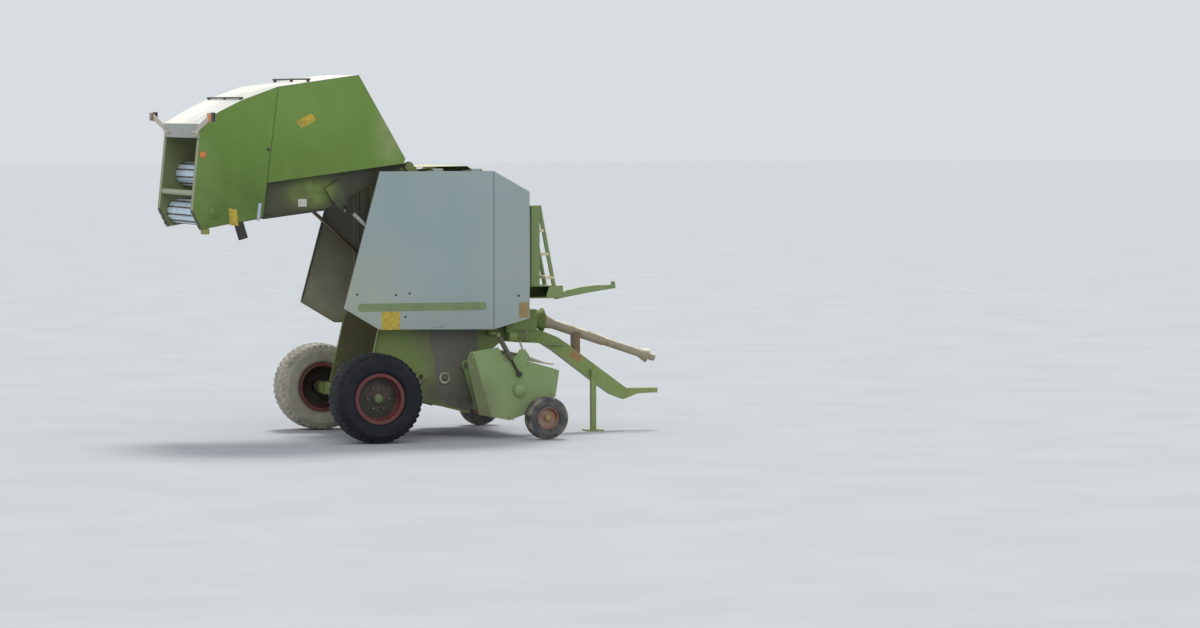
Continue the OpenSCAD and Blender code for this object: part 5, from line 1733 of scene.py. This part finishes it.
@dataclass(frozen=True)
class PickUp:
    """Finishes of the pick-up, its bolts, folds and caps, and the coils of its tines."""

    plate_face: float = 0.930
    bolt: Bolt = Bolt(0.009, PICKUP_GREEN)
    bolt_spots: Outline = ((0.985, 0.790), (0.975, 0.690), (1.075, 0.300), (1.345, 0.205), (1.525, 0.262),
                           (1.775, 0.425), (1.815, 0.630), (1.540, 0.712), (1.300, 0.765))
    fold: Outline = ((0.964, 0.834), (0.9345, 0.759), (1.0535, 0.2435), (1.168, 0.2205), (1.156, 0.274),
                     (1.012, 0.762), (0.985, 0.832))
    fold_sunk: float = 0.0005
    fold_thick: float = 0.002
    fold_bevel: float = 0.0008
    reel: Spot = (1.450, 0.470)
    reel_cap: Turning = Turning(((0, 0.0302), (0.050, 0.0302), (0.050, 0.034), (0.044, 0.038),
                                 (0, 0.040)), 36)
    bars: int = 4
    bar_ring: float = 0.150
    tines: int = 24
    tine_spacing: float = 0.07375
    coil_shift: float = 0.004
    coil_turns: int = 3
    coil_pitch: float = 0.007
    coil_foot: Spot = (0.0185, 0.002)
    coil_valley: Spot = (0.0225, 0.001)
    coil_wire: Outline = ((0.0240, 0.002), (0.0262, 0.0045), (0.0240, 0.007))

    def build(self) -> None:
        """Dresses the pick-up's nodes and adds its small pieces."""
        dress(PICKUP_GREEN, "pickup_frame")
        dress(GUARD_PALE, "wind_guard")
        dress(BAND_STEEL, "pickup_bands")
        dress(REEL_STEEL, "pickup_reel")
        self.coils()
        for side in SIDES:
            dress(CYLINDER_BLACK, f"lift_barrel_{side.word}")
            dress(DRIVE_STEEL, f"lift_rod_{side.word}")
            spots = placed(self.bolt_spots)
            self.bolt.fasten_side(f"pickup_bolts_{side.word}", side, self.plate_face, spots, "pickup")
            # A thin sheet over the side plate's fold, painted darker green as the shade of its rear part.
            face, thick = side.y(self.plate_face - self.fold_sunk), side.y(self.fold_thick)
            fold = Bench.side_slab(f"pickup_fold_{side.word}", placed(self.fold), face, thick,
                                   self.fold_bevel)
            fit(fold, FOLD_SHADE_GREEN, "pickup")
            cap = self.reel_cap.set_on(f"reel_cap_{side.word}", side, self.plate_face, [at(*self.reel)])
            fit(cap, PICKUP_GREEN, "pickup")

    def coil(self) -> Object:
        """Models the coil of one tine as a wavy sleeve, from the radius and height of each of its points.

        Returns:
            The pattern, about Z.
        """
        (foot_r, foot), (valley_r, valley) = self.coil_foot, self.coil_valley
        wave = [(foot_r, 0.0)]
        for k in range(self.coil_turns):
            low = k * self.coil_pitch
            if k:
                wave.append((valley_r, low + valley))
            wave += [(r, low + height) for r, height in self.coil_wire]
        wave.append((foot_r, self.coil_turns * self.coil_pitch + foot))
        return Bench.turned("coil", wave, 14)

    def coils(self) -> None:
        """Adds the coils that hold the tines, round the reel's bars."""
        centre = Matrix.Translation((AXLE.x + self.reel[0], 0, self.reel[1]))
        lying = Matrix.Rotation(-QUARTER, 4, "X")
        places = []
        for bar in range(self.bars):
            turn = Matrix.Rotation(bar * 2 * math.pi / self.bars, 4, "Y")
            for k in range(self.tines):
                y = (k - (self.tines - 1) / 2) * self.tine_spacing + self.coil_shift
                places.append(centre @ turn @ Matrix.Translation((self.bar_ring, y, 0)) @ lying)
        fit(Bench.copies("tine_coils", self.coil(), places), REEL_STEEL, "reel")


@dataclass(frozen=True)
class Tread:
    """A tread of the steps: its rear and front end ahead of the axle, and its height."""

    rear: float
    front: float
    height: float


@dataclass(frozen=True)
class Drawbar:
    """Finishes of the drawbar, drive, steps and stand, with their small pieces."""

    beam_label: Plate = Plate(((2.284, 0.780), (2.375, 0.715), (2.340, 0.668), (2.250, 0.733)), LABEL_RED)
    beam_face: float = 0.070
    hose_rest: Block = Block((2.083, 0.091, 0.850), (0.175, 0.044, 0.009))
    root_edge: Outline = ((1.560, 0.906), (1.838, 0.896))
    root_face: float = 0.080
    root_edge_width: float = 0.024
    root_bolt: Bolt = Bolt(0.012)
    root_bolts: Outline = tuple((x, z) for x in (1.53, 1.66, 1.80) for z in (0.930, 0.975))
    sheet: float = 0.006
    gusset: Outline = ((1.812, 1.336), (1.979, 1.336), (1.979, 1.444), (1.846, 1.444))
    gusset_from: float = 0.648
    gusset_thick: float = 0.005
    gusset_bevel: float = 0.0015
    step_box: tuple[Spot, Spot] = ((1.602, 1.330), (1.985, 1.450))
    step_from: float = 0.650
    step_width: float = 0.320
    post: Block = Block((1.707, 0.625, 1.830), (0.086, 0.050, 0.760))
    head: Block = Block((1.690, 0.490, 2.217), (0.156, 0.320, 0.014))
    web_out: float = 0.335
    web_thick: float = 0.004
    web_bevel: float = 0.001
    rail: tuple[Spot, Spot] = ((1.905, 1.442), (1.752, 2.222))
    rail_size: Spot = (0.034, 0.030)
    rails_out: tuple[float, ...] = (0.615, 0.335)
    treads: tuple[Tread, ...] = (Tread(1.704, 1.800, 1.980), Tread(1.764, 1.846, 1.754),
                                 Tread(1.810, 1.901, 1.528))
    tread_out: float = 0.475
    tread_width: float = 0.318
    tread_thick: float = 0.027
    tread_bevel: float = 0.003

    def build(self) -> None:
        """Dresses the drawbar's nodes and adds its small pieces."""
        dress(BEAM_GREEN, "drawbar", "hitch_tongue", "gearbox", "stand_leg")
        dress(SHAFT_GUARD_LIT_TOP, "pto_shaft")
        dress(REST_RED, "pto_rest")
        dress(STEP_GREEN, "hose_arm")
        side = Side.RIGHT
        self.beam_label.stick("beam_label", side, self.beam_face, "chassis")
        fit(self.hose_rest.cut("hose_rest", side), STEP_GREEN, "chassis")
        edge = Bench.flat_bar("root_edge", placed(self.root_edge), side.y(self.root_face),
                              side.y(self.root_edge_width), self.sheet)
        fit(edge, STEP_GREEN, "chassis")
        gusset = Bench.side_slab("step_gusset", placed(self.gusset), side.y(self.gusset_from),
                                 -side.y(self.gusset_thick), self.gusset_bevel)
        fit(gusset, STEP_GREEN, "chassis")
        self.steps(side)
        self.root_bolt.fasten_side("root_bolts", side, self.root_face, placed(self.root_bolts), "chassis")

    def steps(self, side: Side) -> None:
        """Adds the ladder: box bracket with its web, post, head plate, two leaning rails and three treads.

        Args:
            side: The side of the machine that it stands on.
        """
        parts = [self.bracket(side), self.post.cut("post", side), self.head.cut("head", side), self.web(side)]
        parts += [self.leaning_rail(side, out) for out in self.rails_out]
        for k, tread in enumerate(self.treads, 1):
            centre = ((tread.rear + tread.front) / 2, self.tread_out, tread.height)
            size = (tread.front - tread.rear, self.tread_width, self.tread_thick)
            fit(Block(centre, size, self.tread_bevel).cut(f"tread_{k}", side), CREAM_PAINT, "chassis")
        fit(Bench.join("steps", parts), STEP_GREEN, "chassis", "ladder")

    def bracket(self, side: Side) -> Object:
        """Models the box bracket as a closed ring of bent sheet.

        Args:
            side: The side of the machine that it stands on.

        Returns:
            The part.
        """
        half = self.sheet / 2
        (rear, low), (front, high) = self.step_box
        ring = corners((rear + half, low + half), (front - half, high - half))
        face, width = side.y(self.step_from), -side.y(self.step_width)
        return Bench.flat_bar("box", placed([*ring, ring[0]]), face, width, self.sheet)

    def web(self, side: Side) -> Object:
        """Models the sheet that closes the box bracket's inner side.

        Args:
            side: The side of the machine that it stands on.

        Returns:
            The part.
        """
        (rear, low), (front, high) = self.step_box
        centre = ((rear + front) / 2, self.web_out, (low + high) / 2)
        size = (front - rear - 2 * self.sheet, self.web_thick, high - low - 2 * self.sheet)
        return Block(centre, size, self.web_bevel).cut("web", side)

    def leaning_rail(self, side: Side, out: float) -> Object:
        """Models one rail of the ladder.

        Args:
            side: The side of the machine that it stands on.
            out: Distance of its middle from the middle plane.

        Returns:
            The part.
        """
        foot, top = (Vector(spot) for spot in self.rail)
        centre = (foot + top) / 2
        lean = math.degrees(math.atan2(foot.x - top.x, top.y - foot.y))
        size = (*self.rail_size, (top - foot).length)
        return Block((centre.x, out, centre.y), size, tilt=-lean).cut("rail", side)


@dataclass(frozen=True)
class Cylinders:
    """Finishes of the tailgate's cylinders: bright rod on the near side, a duller brown-grey rod on the far
    one.
    """

    def build(self) -> None:
        """Dresses the cylinders."""
        for side in SIDES:
            dress(CYLINDER_BLACK, f"cylinder_barrel_{side.word}")
            dress(ROD_CHROME if side is Side.RIGHT else ROD_DULL, f"cylinder_rod_{side.word}")


@dataclass(frozen=True)
class DistantLight:
    """A light from far away: where it comes from, its strength, its spread in degrees and its tint."""

    name: str
    source: Place
    power: float
    spread: float
    tint: Place

    def hang(self) -> None:
        """Adds the light to the scene."""
        light = bpy.data.lights.new(self.name, "SUN")
        light.energy, light.angle, light.color = self.power, math.radians(self.spread), self.tint
        lamp = bpy.data.objects.new(self.name, light)
        lamp.rotation_euler = Vector(self.source).to_track_quat("Z", "Y").to_euler()
        bpy.context.scene.collection.objects.link(lamp)


@dataclass(frozen=True)
class Studio:
    """Pale floor, a light high behind and a weak one from the camera's side, and the camera's place."""

    lights: tuple[DistantLight, ...] = (
        DistantLight("high_light", (0.35, 0.80, 1.45), 2.3, 18.0, (1.0, 0.985, 0.95)),
        DistantLight("near_light", (-0.35, -1.0, 0.75), 0.75, 50.0, (0.97, 0.99, 1.0)))
    camera: Place = (-12.357, -43.400, 3.2)
    heading: float = 19.0
    pitch: float = 2.571
    focal: float = 140.4
    sensor: float = 36.0
    sight: float = 500.0
    floor: float = 400.0
    floor_tones: tuple[Rgb, Rgb] = ((168, 171, 174), (173, 176, 179))
    floor_mottle: Noise = Noise(0.8)
    floor_rough: float = 0.85
    sky_tint: tuple[float, float, float, float] = (0.86, 0.90, 0.95, 1.0)
    sky_power: float = 0.80

    def build(self) -> None:
        """Sets up floor, lights, sky and camera."""
        self.floor_sheet()
        for light in self.lights:
            light.hang()
        self.sky()
        self.point_camera()

    def floor_sheet(self) -> None:
        """Lays a wide pale floor with a faint mottle."""
        Bench.clear()
        bpy.ops.mesh.primitive_plane_add(size=self.floor, location=(0, 0, 0))
        sheet = bpy.context.object
        sheet.name = sheet.data.name = "floor"
        bpy.ops.object.transform_apply(location=True, rotation=True, scale=True)
        brush = Brush("floor pale")
        tone = brush.coat(brush.window(brush.noise(self.floor_mottle), 0.3, 0.7), *self.floor_tones)
        sheet.data.materials.append(brush.shader(Base_Color=tone, Roughness=self.floor_rough))

    def sky(self) -> None:
        """Sets an even pale surround."""
        world = bpy.data.worlds.new("surround")
        world.use_nodes = True
        ground = world.node_tree.nodes["Background"]
        ground.inputs["Color"].default_value = self.sky_tint
        ground.inputs["Strength"].default_value = self.sky_power
        bpy.context.scene.world = world
        bpy.context.scene.view_settings.view_transform = "Standard"

    def point_camera(self) -> None:
        """Sets a long lens with a level horizon, slightly downwards."""
        lens = bpy.data.cameras.new("camera")
        lens.lens = self.focal
        lens.sensor_width = self.sensor
        lens.clip_end = self.sight
        eye = bpy.data.objects.new("camera", lens)
        eye.location = Vector(self.camera) + Vector((AXLE.x, 0, 0))
        eye.rotation_euler = (math.radians(90.0 - self.pitch), 0.0, math.radians(-self.heading))
        bpy.context.scene.collection.objects.link(eye)
        bpy.context.scene.camera = eye


def main() -> None:
    """Builds the studio and each sub-assembly in order."""
    logging.basicConfig(level=logging.INFO, format="%(name)s: %(message)s")
    Studio().build()
    for assembly in (FrontFrame(), SideDoors(), Tailgate(), Cylinders(), MainWheels(), GaugeWheels(),
                     PickUp(), Drawbar()):
        log.info("building %s", type(assembly).__name__)
        assembly.build()


if __name__ == "__main__":
    main()
